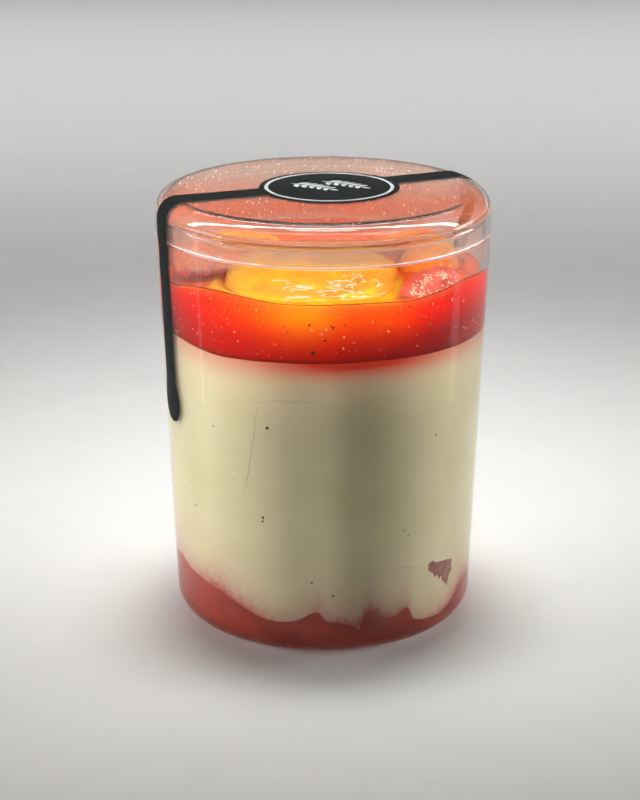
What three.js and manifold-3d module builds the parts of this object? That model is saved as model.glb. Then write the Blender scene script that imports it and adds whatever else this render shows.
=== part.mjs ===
// A panna cotta in a clear jar with a push-on lid, sealed by a dark paper strip.
//
// The jar stands on z = 0 with its axis on Z, and its front faces -Y. All sizes are in millimetres.
// From the floor of the jar up: a layer of cooked strawberry, the set cream, a red fruit jelly, and
// cut mango, orange and strawberry that stand half out of the jelly. An azimuth is an angle round
// the jar in degrees, from the front (-Y) towards the right (+X).

import * as THREE from 'three';
import { mergeVertices } from 'three/addons/utils/BufferGeometryUtils.js';
import Module from 'manifold-3d';

const wasm = await Module();
wasm.setup();

// ---------------------------------------------------------------- driving dimensions

const HEIGHT = 98.8; // floor to the lid's top face
const LID_RADIUS = 37.5;
const LID_EDGE_RADIUS = 4.3; // the lid's rounded top edge
const LID_WALL = 0.9;
const LID_INNER_EDGE_RADIUS = 3.4;
const SKIRT_FOOT = 90.2; // height of the lid's lower edge

const JAR_BASE_RADIUS = 34.07; // the wall's line carried down to z = 0
const JAR_TOP_RADIUS = 37.3; // at the shoulder
const SHOULDER = 89.9;
const JAR_WALL = 1.7;
const JAR_FLOOR = 2.2;
const JAR_FOOT_RADIUS = 5.4; // rounding between the base and the wall, outside
const JAR_INNER_FOOT_RADIUS = 3.9;
const NECK_RADIUS = 36.35;
const RIM_TOP = 95.4;

const FILM_GAP = 0.15; // the seal strip stands clear of what it is stuck to
const FILM_THICKNESS = 0.25;
const STRIP_HALF_WIDTH = 3.5;
const PADDLE_HALF_WIDTH = 4.9; // the widened end of each tail
const PADDLE_NECK = 6; // length over which a tail widens
const TAIL_END = 48.4; // height of each tail's lowest point
const STRIP_START = 9.6; // each arm begins this far from the axis, under the disc
const STRIP_BRIDGE = 0.6; // the strip spans the lid's lower edge from this far above to below it
const TAIL_AZIMUTHS = [-69.5, 114.5];
const DISC_RADIUS = 15.6; // the round part of the seal, on the lid
const DISC_CENTRE = [1.3, 0.15];

const CLEARANCE = 0.3; // between a filling and what holds it
const CREAM_TOP = 69;
const CREAM_WAVE = 0.35; // the cream's top is not quite level
const JELLY_TOP = 82.3; // mean height of the jelly against the wall
const JELLY_DIP = 0.9; // its middle lies lower

const RING_SEGMENTS = 60; // round the jar and the lid
const LAYER_SEGMENTS = 44; // round the jelly
const BASE_SEGMENTS = 56; // round the lumpy base and the cream on it
const FRUIT_SEGMENTS = [12, 9]; // round and along each piece of fruit
const ARC_STEPS = 3; // a curve of a profile is cut into twice as many steps
const STRIP_STEPS = 52; // along each arm of the seal

// Swells of a height round the wall: where, how wide (both in degrees) and how high.
const JELLY_SWELLS = [
  { azimuth: -46, width: 13, height: 1.2 },
  { azimuth: 22, width: 17, height: -1.5 },
  { azimuth: 58, width: 20, height: 0.9 },
  { azimuth: 130, width: 24, height: -0.8 },
  { azimuth: -140, width: 26, height: 1.0 },
];
const BASE_LEVEL = 8.4; // mean height of the cooked strawberry at the wall
const BASE_TILT = 3.6; // it lies higher on one side
const BASE_TILT_AZIMUTH = -95;
const BASE_SWELLS = [
  { azimuth: -2, width: 4.5, height: 2.6 },
  { azimuth: 15, width: 4, height: 2.9 },
  { azimuth: 31, width: 5, height: 3.6 },
  { azimuth: 48, width: 9, height: -1.3 },
  { azimuth: 74, width: 8, height: 4.6 },
  { azimuth: 104, width: 12, height: 2.4 },
  { azimuth: 150, width: 10, height: 3.2 },
  { azimuth: -150, width: 14, height: -2.0 },
  { azimuth: -118, width: 9, height: 1.8 },
];

// How each fruit is cut: how square it is (1 is an ellipsoid) and how far its tip narrows.
const MANGO = { square: 0.7, taper: 0.08, colour: 0xf9b517 };
const ORANGE = { square: 0.68, taper: 0.18, colour: 0xf58a1f };
const STRAWBERRY = { square: 0.8, taper: 0.35, colour: 0xcf4035 };

// Each piece: its middle, its half sizes along its own X, Y and Z, its turn about Z, and how far
// its front leans down, in degrees.
const FRUIT = {
  mango_slab: {
    cut: MANGO, centre: [-3.6, -14.7, 79.2], half: [19.2, 17.6, 7.4], turn: -2, lean: 5,
  },
  mango_dice_back: { cut: MANGO, centre: [-18, 17, 80.2], half: [8.6, 7.6, 6.4], turn: 40, lean: 0 },
  orange_wedge: { cut: ORANGE, centre: [23.4, -2.8, 80.2], half: [10.2, 7.2, 7], turn: 80, lean: 2 },
  orange_dice_back: {
    cut: ORANGE, centre: [20.4, 16.6, 80], half: [7.6, 6.4, 6.4], turn: 30, lean: 0,
  },
  strawberry_half_right: {
    cut: STRAWBERRY, centre: [22.8, -20.7, 79.9], half: [9.2, 4.4, 5.8], turn: 46, lean: 6,
  },
  strawberry_half_left: {
    cut: STRAWBERRY, centre: [-28.4, -3.2, 78.8], half: [9.6, 4.6, 6.2], turn: -80, lean: 0,
  },
  strawberry_half_back: {
    cut: STRAWBERRY, centre: [1.2, 13.2, 79.9], half: [10.4, 6.4, 6.4], turn: 8, lean: 0,
  },
  strawberry_half_rear: {
    cut: STRAWBERRY, centre: [3, 26.4, 79.6], half: [9, 4.8, 5.4], turn: -6, lean: 0,
  },
};

// A scrap of strawberry pressed against the wall low in the cream.
const SCRAP = { azimuth: 52, height: 14.9, half: [3.4, 1.6, 3.9], pointed: 0.45, crooked: 0.5 };

// ---------------------------------------------------------------- helpers

const radians = THREE.MathUtils.degToRad;

/** Horizontal distance outwards per millimetre of height along the jar's wall. */
const WALL_SLOPE = (JAR_TOP_RADIUS - JAR_BASE_RADIUS) / SHOULDER;
const WALL_LEAN = Math.atan(WALL_SLOPE);
const INNER_BASE_RADIUS = JAR_BASE_RADIUS - JAR_WALL / Math.cos(WALL_LEAN);

/** The jar's outer radius at height z, above its rounded foot. */
const outerRadius = (z) => JAR_BASE_RADIUS + WALL_SLOPE * z;

/** The space inside the jar at height z: the wall, and below it the rounded inner foot. */
function innerRadius(z) {
  const wall = INNER_BASE_RADIUS + WALL_SLOPE * z;
  const rise = z - JAR_FLOOR;
  if (rise >= JAR_INNER_FOOT_RADIUS) return wall;
  const drop = JAR_INNER_FOOT_RADIUS - Math.max(rise, 0);
  const inset = JAR_INNER_FOOT_RADIUS - Math.sqrt(JAR_INNER_FOOT_RADIUS ** 2 - drop ** 2);
  return wall - inset;
}

/** Sum of bell-shaped swells at an azimuth, counted the short way round. */
function swell(azimuth, swells) {
  return swells.reduce((sum, bump) => {
    const away = THREE.MathUtils.euclideanModulo(azimuth - bump.azimuth + 180, 360) - 180;
    return sum + bump.height * Math.exp(-((away / bump.width) ** 2));
  }, 0);
}

/** Adds the arc that rounds a foot or floor into the leaning wall, from straight down outwards. */
function addFoot(path, wallRadiusAtZero, floor, radius, upwards) {
  const centreZ = floor + radius;
  const centreR = wallRadiusAtZero
    + (centreZ * Math.sin(WALL_LEAN) - radius) / Math.cos(WALL_LEAN);
  const down = -Math.PI / 2;
  if (upwards) {
    path.lineTo(centreR, floor);
    path.absarc(centreR, centreZ, radius, down, -WALL_LEAN, false);
  } else {
    path.absarc(centreR, centreZ, radius, -WALL_LEAN, down, true);
  }
}

/** Turns a profile of radius and height round the jar's axis. */
function turned(path, segments = RING_SEGMENTS) {
  return new THREE.LatheGeometry(path.getPoints(ARC_STEPS), segments).rotateX(Math.PI / 2);
}

/** A closed solid for joining and cutting, from a geometry's merged corners. */
function toSolid(geometry) {
  const bare = geometry.clone();
  bare.deleteAttribute('normal');
  bare.deleteAttribute('uv');
  const merged = mergeVertices(bare, 1e-4);
  const corners = merged.index.array;
  const kept = [];
  for (let i = 0; i < corners.length; i += 3) {
    const [a, b, c] = corners.slice(i, i + 3);
    if (a !== b && b !== c && c !== a) kept.push(a, b, c);
  }
  return new wasm.Manifold(new wasm.Mesh({
    numProp: 3,
    vertProperties: new Float32Array(merged.attributes.position.array),
    triVerts: new Uint32Array(kept),
  }));
}

/** The geometry of a joined or cut solid. */
function fromSolid(solid) {
  const mesh = solid.getMesh();
  const geometry = new THREE.BufferGeometry();
  geometry.setAttribute('position', new THREE.BufferAttribute(mesh.vertProperties, 3));
  geometry.setIndex(new THREE.BufferAttribute(mesh.triVerts, 1));
  geometry.computeVertexNormals();
  return geometry;
}

/** Moves every corner of a geometry to where place(corner) puts it. */
function reshape(geometry, place) {
  const positions = geometry.attributes.position;
  const corner = new THREE.Vector3();
  for (let i = 0; i < positions.count; i += 1) {
    corner.fromBufferAttribute(positions, i);
    place(corner);
    positions.setXYZ(i, corner.x, corner.y, corner.z);
  }
  return geometry;
}

const group = new THREE.Group();

/** Adds one named piece with its own material. */
function addPiece(name, geometry, material) {
  const mesh = new THREE.Mesh(geometry, new THREE.MeshStandardMaterial(material));
  mesh.name = name;
  group.add(mesh);
}

// ---------------------------------------------------------------- jar and lid

const CLEAR_PLASTIC = {
  color: 0xf2f4f3, roughness: 0.05, metalness: 0, transparent: true, opacity: 0.3,
};

/** The jar: flat base, rounded foot, leaning wall, a shoulder for the lid, and a thin round rim. */
function jarGeometry() {
  const neckInside = INNER_BASE_RADIUS + WALL_SLOPE * SHOULDER;
  const rimRadius = (NECK_RADIUS - neckInside) / 2;
  const path = new THREE.Path().moveTo(0, 0);
  addFoot(path, JAR_BASE_RADIUS, 0, JAR_FOOT_RADIUS, true);
  path.lineTo(JAR_TOP_RADIUS, SHOULDER);
  path.lineTo(NECK_RADIUS, SHOULDER);
  path.absarc(NECK_RADIUS - rimRadius, RIM_TOP - rimRadius, rimRadius, 0, Math.PI, false);
  path.lineTo(neckInside, SHOULDER);
  addFoot(path, INNER_BASE_RADIUS, JAR_FLOOR, JAR_INNER_FOOT_RADIUS, false);
  path.lineTo(0, JAR_FLOOR);
  return turned(path);
}

/** The lid: a flat top with a rounded edge and a short skirt that covers the jar's neck. */
function lidGeometry() {
  const inside = LID_RADIUS - LID_WALL;
  const ceiling = HEIGHT - LID_WALL;
  const path = new THREE.Path().moveTo(0, ceiling);
  path.lineTo(inside - LID_INNER_EDGE_RADIUS, ceiling);
  path.absarc(
    inside - LID_INNER_EDGE_RADIUS, ceiling - LID_INNER_EDGE_RADIUS, LID_INNER_EDGE_RADIUS,
    Math.PI / 2, 0, true,
  );
  path.lineTo(inside, SKIRT_FOOT);
  path.lineTo(LID_RADIUS, SKIRT_FOOT);
  path.absarc(
    LID_RADIUS - LID_EDGE_RADIUS, HEIGHT - LID_EDGE_RADIUS, LID_EDGE_RADIUS, 0, Math.PI / 2, false,
  );
  path.lineTo(0, HEIGHT);
  return turned(path);
}

addPiece('jar', jarGeometry(), CLEAR_PLASTIC);
addPiece('lid', lidGeometry(), CLEAR_PLASTIC);

// ---------------------------------------------------------------- seal strip

/** Where the strip lies, from the lid's middle over its edge and down the jar. */
function stripRoute() {
  const skirtEnd = SKIRT_FOOT + STRIP_BRIDGE;
  const wallStart = SHOULDER - STRIP_BRIDGE;
  const path = new THREE.Path().moveTo(STRIP_START, HEIGHT);
  path.lineTo(LID_RADIUS - LID_EDGE_RADIUS, HEIGHT);
  path.absarc(
    LID_RADIUS - LID_EDGE_RADIUS, HEIGHT - LID_EDGE_RADIUS, LID_EDGE_RADIUS, Math.PI / 2, 0, true,
  );
  path.lineTo(LID_RADIUS, skirtEnd);
  path.lineTo(outerRadius(wallStart), wallStart);
  path.lineTo(outerRadius(TAIL_END), TAIL_END);
  return path;
}

/** Half the strip's width at a distance from its end: a round paddle, then the narrow strip. */
function stripHalfWidth(fromEnd) {
  const round = PADDLE_HALF_WIDTH;
  if (fromEnd < round) return Math.sqrt(Math.max(round ** 2 - (round - fromEnd) ** 2, 0.01));
  const narrowing = THREE.MathUtils.smoothstep(fromEnd, round, round + PADDLE_NECK);
  return THREE.MathUtils.lerp(round, STRIP_HALF_WIDTH, narrowing);
}

/** One arm of the strip: a thin box laid along the route and wrapped round the jar. */
function stripArm(azimuth) {
  const route = stripRoute();
  const length = route.getLength();
  const box = new THREE.BoxGeometry(2, 1, 1, 2, STRIP_STEPS, 1).translate(0, 0.5, 0.5);
  return reshape(box, (corner) => {
    const on = route.getPointAt(corner.y);
    const heading = route.getTangentAt(corner.y);
    const height = FILM_GAP + FILM_THICKNESS * corner.z;
    const radius = on.x - heading.y * height;
    const aside = -corner.x * stripHalfWidth((1 - corner.y) * length);
    const angle = radians(azimuth) + Math.asin(aside / radius);
    corner.set(radius * Math.sin(angle), -radius * Math.cos(angle), on.y + heading.x * height);
  });
}

/** The round part of the seal that lies on the lid. */
function sealDisc() {
  const disc = new THREE.CylinderGeometry(DISC_RADIUS, DISC_RADIUS, FILM_THICKNESS, 48);
  disc.rotateX(Math.PI / 2);
  return disc.translate(...DISC_CENTRE, HEIGHT + FILM_GAP + FILM_THICKNESS / 2);
}

const seal = TAIL_AZIMUTHS.map(stripArm).reduce(
  (joined, arm) => joined.add(toSolid(arm)),
  toSolid(sealDisc()),
);
addPiece('seal_strip', fromSolid(seal), { color: 0x23292a, roughness: 0.45, metalness: 0 });

// ---------------------------------------------------------------- fillings

/** Height of the cooked strawberry: tilted, lumpy at the wall and nearly level in the middle. */
function baseTop(azimuth, share) {
  const tilt = BASE_TILT * Math.cos(radians(azimuth - BASE_TILT_AZIMUTH));
  return BASE_LEVEL + share * (tilt + swell(azimuth, BASE_SWELLS) * share ** 3);
}

/** Height of the jelly: wavy at the wall, and a little lower in the middle. */
function jellyTop(azimuth, share) {
  const dip = JELLY_DIP * (1 - share ** 2);
  return JELLY_TOP - dip + swell(azimuth, JELLY_SWELLS) * share ** 2;
}

/**
 * A filling of the jar between two heights, each a function of the azimuth and of the share of
 * the way from the axis to the wall. An overhang carries it level past the wall, for cutting.
 */
function layer(bottom, top, { rings = 4, wallSteps = 3, segments = LAYER_SEGMENTS, overhang = 0 }) {
  const shares = Array.from({ length: rings + 1 }, (_, i) => Math.sqrt(i / rings));
  if (overhang > 0) shares.push(1 + overhang);
  const edge = shares[shares.length - 1];
  const points = shares.map((share) => new THREE.Vector2(share, 0));
  for (let i = 1; i < wallSteps; i += 1) points.push(new THREE.Vector2(edge, i / wallSteps));
  shares.reverse().forEach((share) => points.push(new THREE.Vector2(share, 1)));
  const drum = new THREE.LatheGeometry(points, segments).rotateX(Math.PI / 2);
  return reshape(drum, (corner) => {
    const share = Math.hypot(corner.x, corner.y);
    const angle = Math.atan2(corner.x, -corner.y);
    const azimuth = THREE.MathUtils.radToDeg(angle);
    const within = Math.min(share, 1);
    const z = THREE.MathUtils.lerp(bottom(azimuth, within), top(azimuth, within), corner.z);
    const radius = share * (innerRadius(z) - CLEARANCE);
    corner.set(radius * Math.sin(angle), -radius * Math.cos(angle), z);
  });
}

/** A cut piece of fruit, or the hollow it leaves when grown by the clearance. */
function fruitGeometry(piece, grow) {
  const { centre, half, turn, lean } = piece;
  const { square, taper } = piece.cut;
  const round = (value) => Math.sign(value) * Math.abs(value) ** square;
  const shape = reshape(new THREE.SphereGeometry(1, ...FRUIT_SEGMENTS), (corner) => {
    const reach = Math.hypot(corner.x, corner.z);
    const level = Math.hypot(reach, corner.y);
    const side = round(reach / level);
    const narrow = 1 - taper * (corner.x + 1) / 2;
    corner.set(
      (half[0] + grow) * side * round(corner.x / (reach || 1)),
      (half[1] + grow) * narrow * side * round(-corner.z / (reach || 1)),
      (half[2] + grow) * round(corner.y / level),
    );
  });
  shape.rotateX(radians(lean)).rotateZ(radians(turn)).translate(...centre);
  return shape;
}

/** The scrap of strawberry: a small three-sided wedge that follows the wall, point down. */
function scrapGeometry(grow) {
  const { azimuth, height, half, pointed, crooked } = SCRAP;
  const reach = innerRadius(height) - CLEARANCE - half[1] + grow;
  const wedge = reshape(new THREE.BoxGeometry(2, 2, 2, 4, 1, 4), (corner) => {
    const narrow = 1 - pointed * (1 - corner.z);
    const across = corner.x * narrow * (half[0] + grow);
    const inwards = corner.y * (half[1] + grow);
    const z = height + corner.z * (half[2] + grow) + crooked * Math.sin(2 * corner.x + 1);
    const radius = reach - grow + inwards;
    const angle = radians(azimuth) + across / reach;
    corner.set(radius * Math.sin(angle), -radius * Math.cos(angle), z);
  });
  // Following the wall turns the box inside out, so its corners are taken the other way round.
  const corners = wedge.index.array;
  for (let i = 0; i < corners.length; i += 3) {
    [corners[i], corners[i + 1]] = [corners[i + 1], corners[i]];
  }
  return wedge;
}

const floorTop = () => JAR_FLOOR + CLEARANCE;
const creamTop = (azimuth) => CREAM_TOP + CREAM_WAVE * Math.sin(radians(2 * azimuth + 30));
const jellyBottom = (azimuth) => creamTop(azimuth) + CLEARANCE;

// The cream is poured over the lumpy base, so what the base fills is cut from it.
const lumpy = { wallSteps: 4, segments: BASE_SEGMENTS };
const scrapHollow = toSolid(scrapGeometry(CLEARANCE));
const fruitBase = toSolid(layer(floorTop, baseTop, lumpy)).subtract(scrapHollow);
const baseHollow = toSolid(layer(
  () => 0,
  (azimuth, share) => baseTop(azimuth, share) + CLEARANCE,
  { ...lumpy, overhang: 0.1 },
));
const cream = toSolid(layer(floorTop, creamTop, { wallSteps: 4, segments: BASE_SEGMENTS }))
  .subtract(baseHollow)
  .subtract(scrapHollow);
const jelly = Object.values(FRUIT).reduce(
  (rest, piece) => rest.subtract(toSolid(fruitGeometry(piece, CLEARANCE))),
  toSolid(layer(jellyBottom, jellyTop, {})),
);

addPiece('strawberry_base', fromSolid(fruitBase), { color: 0x8f3229, roughness: 0.4, metalness: 0 });
addPiece('panna_cotta', fromSolid(cream), { color: 0xdcd5b0, roughness: 0.35, metalness: 0 });
addPiece('strawberry_scrap', scrapGeometry(0), { color: 0xa8423a, roughness: 0.4, metalness: 0 });
addPiece('fruit_jelly', fromSolid(jelly), { color: 0xd92a10, roughness: 0.15, metalness: 0 });

for (const [name, piece] of Object.entries(FRUIT)) {
  addPiece(name, fruitGeometry(piece, 0), { color: piece.cut.colour, roughness: 0.25, metalness: 0 });
}

export default group;
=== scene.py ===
# %% [markdown]
# # A panna cotta in a clear jar
#
# The real object is a dessert built up in a thin clear tub: cooked strawberry at the bottom, a
# thick layer of set cream, a red fruit jelly, and cut mango, orange and strawberry that stand half
# out of the jelly. A clear lid is pushed on, and a dark paper seal runs over it.
#
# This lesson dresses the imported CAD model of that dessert. Every shape below is a surface worked
# out with numpy, as whole arrays, from a few sizes in millimetres. An azimuth is an angle round
# the jar in degrees, counted from the front (-Y) towards the right (+X).

# %% The frame, the CAD box and the units
import math

import bmesh
import bpy
import numpy as np
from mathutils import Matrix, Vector


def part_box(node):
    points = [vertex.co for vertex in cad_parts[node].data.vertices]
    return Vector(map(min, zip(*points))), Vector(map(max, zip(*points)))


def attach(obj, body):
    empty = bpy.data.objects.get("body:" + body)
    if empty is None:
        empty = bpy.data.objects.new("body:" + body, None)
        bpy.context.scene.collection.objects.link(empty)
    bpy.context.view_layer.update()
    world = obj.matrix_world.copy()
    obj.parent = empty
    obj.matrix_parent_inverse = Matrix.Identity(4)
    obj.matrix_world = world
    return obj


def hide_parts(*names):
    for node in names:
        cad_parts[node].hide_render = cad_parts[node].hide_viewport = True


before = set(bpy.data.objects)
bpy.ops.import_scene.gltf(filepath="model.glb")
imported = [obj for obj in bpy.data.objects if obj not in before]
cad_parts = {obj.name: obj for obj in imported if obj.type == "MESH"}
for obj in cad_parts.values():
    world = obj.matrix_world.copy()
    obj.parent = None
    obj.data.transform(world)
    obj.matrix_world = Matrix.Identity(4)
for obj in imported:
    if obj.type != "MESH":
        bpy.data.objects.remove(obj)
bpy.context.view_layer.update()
MM = 0.001  # one millimetre in Blender's metres
rng = np.random.default_rng(11)

# %% [markdown]
# ## Sizes
#
# The jar's and the lid's outer sizes are read from the CAD nodes, so the fine surfaces always sit
# where the coarse ones do. The rest repeats the driving sizes of the CAD model.

# %% Sizes from the frame, and the driving sizes
jar_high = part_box("jar")[1] / MM
lid_low, lid_high = (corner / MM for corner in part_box("lid"))
HEIGHT = lid_high.z
LID_RADIUS = lid_high.x
SKIRT_FOOT = lid_low.z
RIM_TOP = jar_high.z
JAR_TOP_RADIUS = jar_high.x

LID_EDGE_RADIUS = 4.3
LID_WALL = 0.9
LID_INNER_EDGE_RADIUS = 3.4
JAR_BASE_RADIUS = 34.07  # the wall's line carried down to z = 0
SHOULDER = SKIRT_FOOT - 0.3
JAR_WALL = 1.7
JAR_FLOOR = 2.2
JAR_FOOT_RADIUS = 5.4
JAR_INNER_FOOT_RADIUS = 3.9
NECK_RADIUS = 36.35

WALL_SLOPE = (JAR_TOP_RADIUS - JAR_BASE_RADIUS) / SHOULDER
WALL_LEAN = math.atan(WALL_SLOPE)
INNER_BASE_RADIUS = JAR_BASE_RADIUS - JAR_WALL / math.cos(WALL_LEAN)
print(f"jar: {2 * JAR_TOP_RADIUS:.1f} mm across at the shoulder, {HEIGHT:.1f} mm tall with its lid")

# %% [markdown]
# ## From numbers to meshes
#
# One function turns grids of points into a mesh. A grid wraps round in its columns. Its first and
# last rows shrink to a pole point, so that every solid closes, unless the last row repeats the
# first, as in a ring. The sign of the enclosed volume tells whether the faces point outwards, and
# if they don't, they are turned over.

# %% Grids to closed meshes
def grid_faces(rows, cols, wrap=True):
    """Corner numbers of the quads of a rows x cols grid, joined round in its columns if wrap."""
    r, c = np.meshgrid(np.arange(rows - 1), np.arange(cols if wrap else cols - 1), indexing="ij")
    nxt = (c + 1) % cols
    quads = np.stack([r * cols + c, r * cols + nxt, (r + 1) * cols + nxt, (r + 1) * cols + c], -1)
    return quads.reshape(-1, 4)


def close_poles(points):
    """Draws the first row and the last row of a grid together to their means, so that the caps
    are fans of very thin quads. A ring, whose last row repeats its first, stays as it is."""
    points = points.copy()
    if not np.array_equal(points[0], points[-1]):
        points[0] = points[0].mean(0)
        points[-1] = points[-1].mean(0)
    return points


def volume(points, faces):
    """Six times the volume inside the quads: the sum of the corner products of their triangles."""
    a, b, c, d = (points[faces[:, i]] for i in range(4))
    return float((np.cross(a, b) * c).sum() + (np.cross(a, c) * d).sum())


def merge_doubles(mesh, distance=1e-7):
    """Welds corners that lie in one place, which closes the poles."""
    work = bmesh.new()
    work.from_mesh(mesh)
    bmesh.ops.remove_doubles(work, verts=work.verts, dist=distance)
    work.to_mesh(mesh)
    work.free()


def make_piece(name, grids, materials, replaces=(), attributes=None, face_slots=None):
    """Builds one piece from grids of points in millimetres. attributes are numbers for each
    point. face_slots says which of the materials each face takes, in the order of the faces."""
    corners, faces, start = [], [], 0
    for points in map(close_poles, grids):
        flat = points.reshape(-1, 3)
        quads = grid_faces(*points.shape[:2])
        if volume(flat - flat.mean(0), quads) < 0:
            quads = quads[:, ::-1]
        corners.append(flat)
        faces.append(quads + start)
        start += len(flat)
    corners, faces = np.concatenate(corners), np.concatenate(faces)
    mesh = bpy.data.meshes.new(name)
    mesh.vertices.add(len(corners))
    mesh.vertices.foreach_set("co", (corners * MM).astype(np.float32).ravel())
    mesh.loops.add(faces.size)
    mesh.loops.foreach_set("vertex_index", faces.astype(np.int32).ravel())
    mesh.polygons.add(len(faces))
    mesh.polygons.foreach_set("loop_start", np.arange(0, faces.size, 4, dtype=np.int32))
    for key, values in (attributes or {}).items():
        layer = mesh.attributes.new(key, "FLOAT", "POINT")
        layer.data.foreach_set("value", np.asarray(values, np.float32).ravel())
    for material in materials:
        mesh.materials.append(material)
    if face_slots is not None:
        mesh.polygons.foreach_set("material_index", np.asarray(face_slots, np.int32))
    mesh.update(calc_edges=True)
    mesh.validate(clean_customdata=False)
    mesh.shade_smooth()
    piece = bpy.data.objects.new(name, mesh)
    bpy.context.scene.collection.objects.link(piece)
    merge_doubles(mesh)
    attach(piece, "root")
    for node in replaces:
        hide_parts(node)
    triangles = sum(len(polygon.vertices) - 2 for polygon in mesh.polygons)
    print(f"{name}: {len(mesh.vertices)} points, {triangles} triangles")


# %% [markdown]
# ## Colours and nodes
#
# Colours are written as the sRGB hex values that a colour picker shows, and one function turns
# them into the linear values that the shader works with. One more function adds a node, sets its
# properties and its sockets, and links it. The nodes that come back again and again, such as
# noise, a mixed colour or a bump, have a line of their own below it.

# %% Colour and node helpers
def linear(code, alpha=1.0):
    """sRGB hex to linear: a value under 0.04045 is divided by 12.92, and a higher one is
    ((value + 0.055) / 1.055) to the power 2.4."""
    value = np.array([int(code[i:i + 2], 16) / 255 for i in (1, 3, 5)])
    value = np.where(value < 0.04045, value / 12.92, ((value + 0.055) / 1.055) ** 2.4)
    return (*value.tolist(), alpha)


def add(tree, kind, inputs=None, **settings):
    """Adds one shader node. settings are its properties, and inputs its sockets, each given a
    value or the output socket that feeds it."""
    node = tree.nodes.new("ShaderNode" + kind)
    for key, value in settings.items():
        setattr(node, key, value)
    for key, value in (inputs or {}).items():
        if isinstance(value, bpy.types.NodeSocket):
            tree.links.new(value, node.inputs[key])
        else:
            node.inputs[key].default_value = value
    return node


def noise(tree, mm, detail, output="Fac", **sockets):
    """Noise over the object's own coordinates, with blobs mm across: its scale is 1 / size."""
    place = add(tree, "TexCoord").outputs["Object"]
    sockets = {"Vector": place, "Scale": 1 / (mm * MM), "Detail": detail, **sockets}
    return add(tree, "TexNoise", sockets).outputs[output]


def read(tree, name):
    """The number that the mesh carries under this name at each of its points."""
    return add(tree, "Attribute", attribute_name=name, attribute_type="GEOMETRY").outputs["Fac"]


def remap(tree, value, low, high, to_low=0.0, to_high=1.0):
    """Carries the range low to high over to to_low to to_high, and stops at both ends."""
    return add(tree, "MapRange", {
        "Value": value, "From Min": low, "From Max": high, "To Min": to_low, "To Max": to_high,
    }).outputs[0]


def times(tree, a, b):
    """The product a x b."""
    return add(tree, "Math", {0: a, 1: b}, operation="MULTIPLY").outputs[0]


def mix(tree, colour, *tints):
    """Lays tints over a colour one after the other: (1 - share) x colour + share x tint, each
    tint given as (share, tint). A colour is a hex code or a socket."""
    for share, tint in tints:
        colour, tint = (linear(c) if isinstance(c, str) else c for c in (colour, tint))
        inputs = {"Factor": share, "A": colour, "B": tint}
        colour = add(tree, "Mix", inputs, data_type="RGBA").outputs["Result"]
    return colour


def bump(tree, height, strength, mm):
    """A normal bent as if the surface rose by mm where height is 1."""
    inputs = {"Height": height, "Strength": strength, "Distance": mm * MM}
    return add(tree, "Bump", inputs).outputs[0]


def scattering(weight, reach, mm):
    """Sockets for light that spreads under the skin: its share, its reach in red, green and blue,
    and the length that the reach is multiplied by."""
    return {"Subsurface Weight": weight, "Subsurface Radius": reach, "Subsurface Scale": mm * MM}


def new_material(name):
    """An empty node material and its tree."""
    material = bpy.data.materials.new(name)
    material.use_nodes = True
    material.node_tree.nodes.clear()
    return material, material.node_tree


def finish_material(material, shader):
    """Links a shader to the surface output."""
    add(material.node_tree, "OutputMaterial", {"Surface": shader.outputs[0]})
    return material


def principled(material, sockets):
    """Finishes a material with one Principled surface."""
    return finish_material(material, add(material.node_tree, "BsdfPrincipled", sockets))


def plain_material(name, colour, dark, roughness, grain_mm, **more):
    """A Principled surface in two colours mixed by fine noise."""
    material, tree = new_material(name)
    grain = mix(tree, dark, (noise(tree, grain_mm, 2.0), colour))
    return principled(material, {"Base Color": grain, "Roughness": roughness, **more})


# %% [markdown]
# ## Clear polystyrene
#
# The tub and its lid are injection-moulded polystyrene: clear as glass, with an index of 1.59 and
# a polished mould's gloss. Real lamps reach the food through it, but a path tracer finds a lamp
# behind refracting plastic only by luck. So for shadow rays alone the plastic counts as
# see-through. Handling leaves faint scratches, which break up the gloss. Where the mould
# parted and where the tub stands, the edges are scuffed: a few rows of faces take a rougher
# plastic, which catches the light as a thin pale line.

# %% Material: injection-moulded clear polystyrene
SCRATCHES = (900, 130, 300)  # blobs of noise for each metre along X, Y and Z


def clear_polystyrene(name, tint, haze, gloss=0.5):
    """Transmission with an IOR of 1.59. Stretched noise raises the roughness where it peaks, in
    scratches about a millimetre wide and eight long, with finer ones between them."""
    material, tree = new_material(name)
    place = add(tree, "TexCoord").outputs["Object"]
    stretch = add(tree, "Mapping", {"Vector": place, "Scale": SCRATCHES}).outputs[0]
    hairs = add(tree, "TexNoise", {"Vector": stretch, "Scale": 1.0, "Detail": 3.0}).outputs["Fac"]
    plastic = add(tree, "BsdfPrincipled", {
        "Base Color": linear(tint), "Roughness": remap(tree, hairs, 0.55, 0.8, haze * 0.35, haze),
        "IOR": 1.59, "Transmission Weight": 1.0, "Specular IOR Level": gloss,
    })
    clear = add(tree, "BsdfTransparent", {"Color": (0.96, 0.96, 0.96, 1)})
    in_shadow = add(tree, "LightPath").outputs["Is Shadow Ray"]
    both = {0: in_shadow, 1: plastic.outputs[0], 2: clear.outputs[0]}
    return finish_material(material, add(tree, "MixShader", both))


jar_plastic = clear_polystyrene("clear_polystyrene_moulded_tub", "#fbfbfa", 0.03, 0.18)
lid_plastic = clear_polystyrene("clear_polystyrene_moulded_lid", "#fbfaf9", 0.05)
edge_plastic = clear_polystyrene("clear_polystyrene_scuffed_edge", "#fffdfb", 0.9)

# %% [markdown]
# ## Jar and lid
#
# Both are turned shapes: a profile of radius and height, carried once round the axis. The CAD
# solids have 60 flat sides, which clear plastic would show as stripes, so the same profiles are
# turned again here with 240 steps and smooth arcs.

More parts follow.
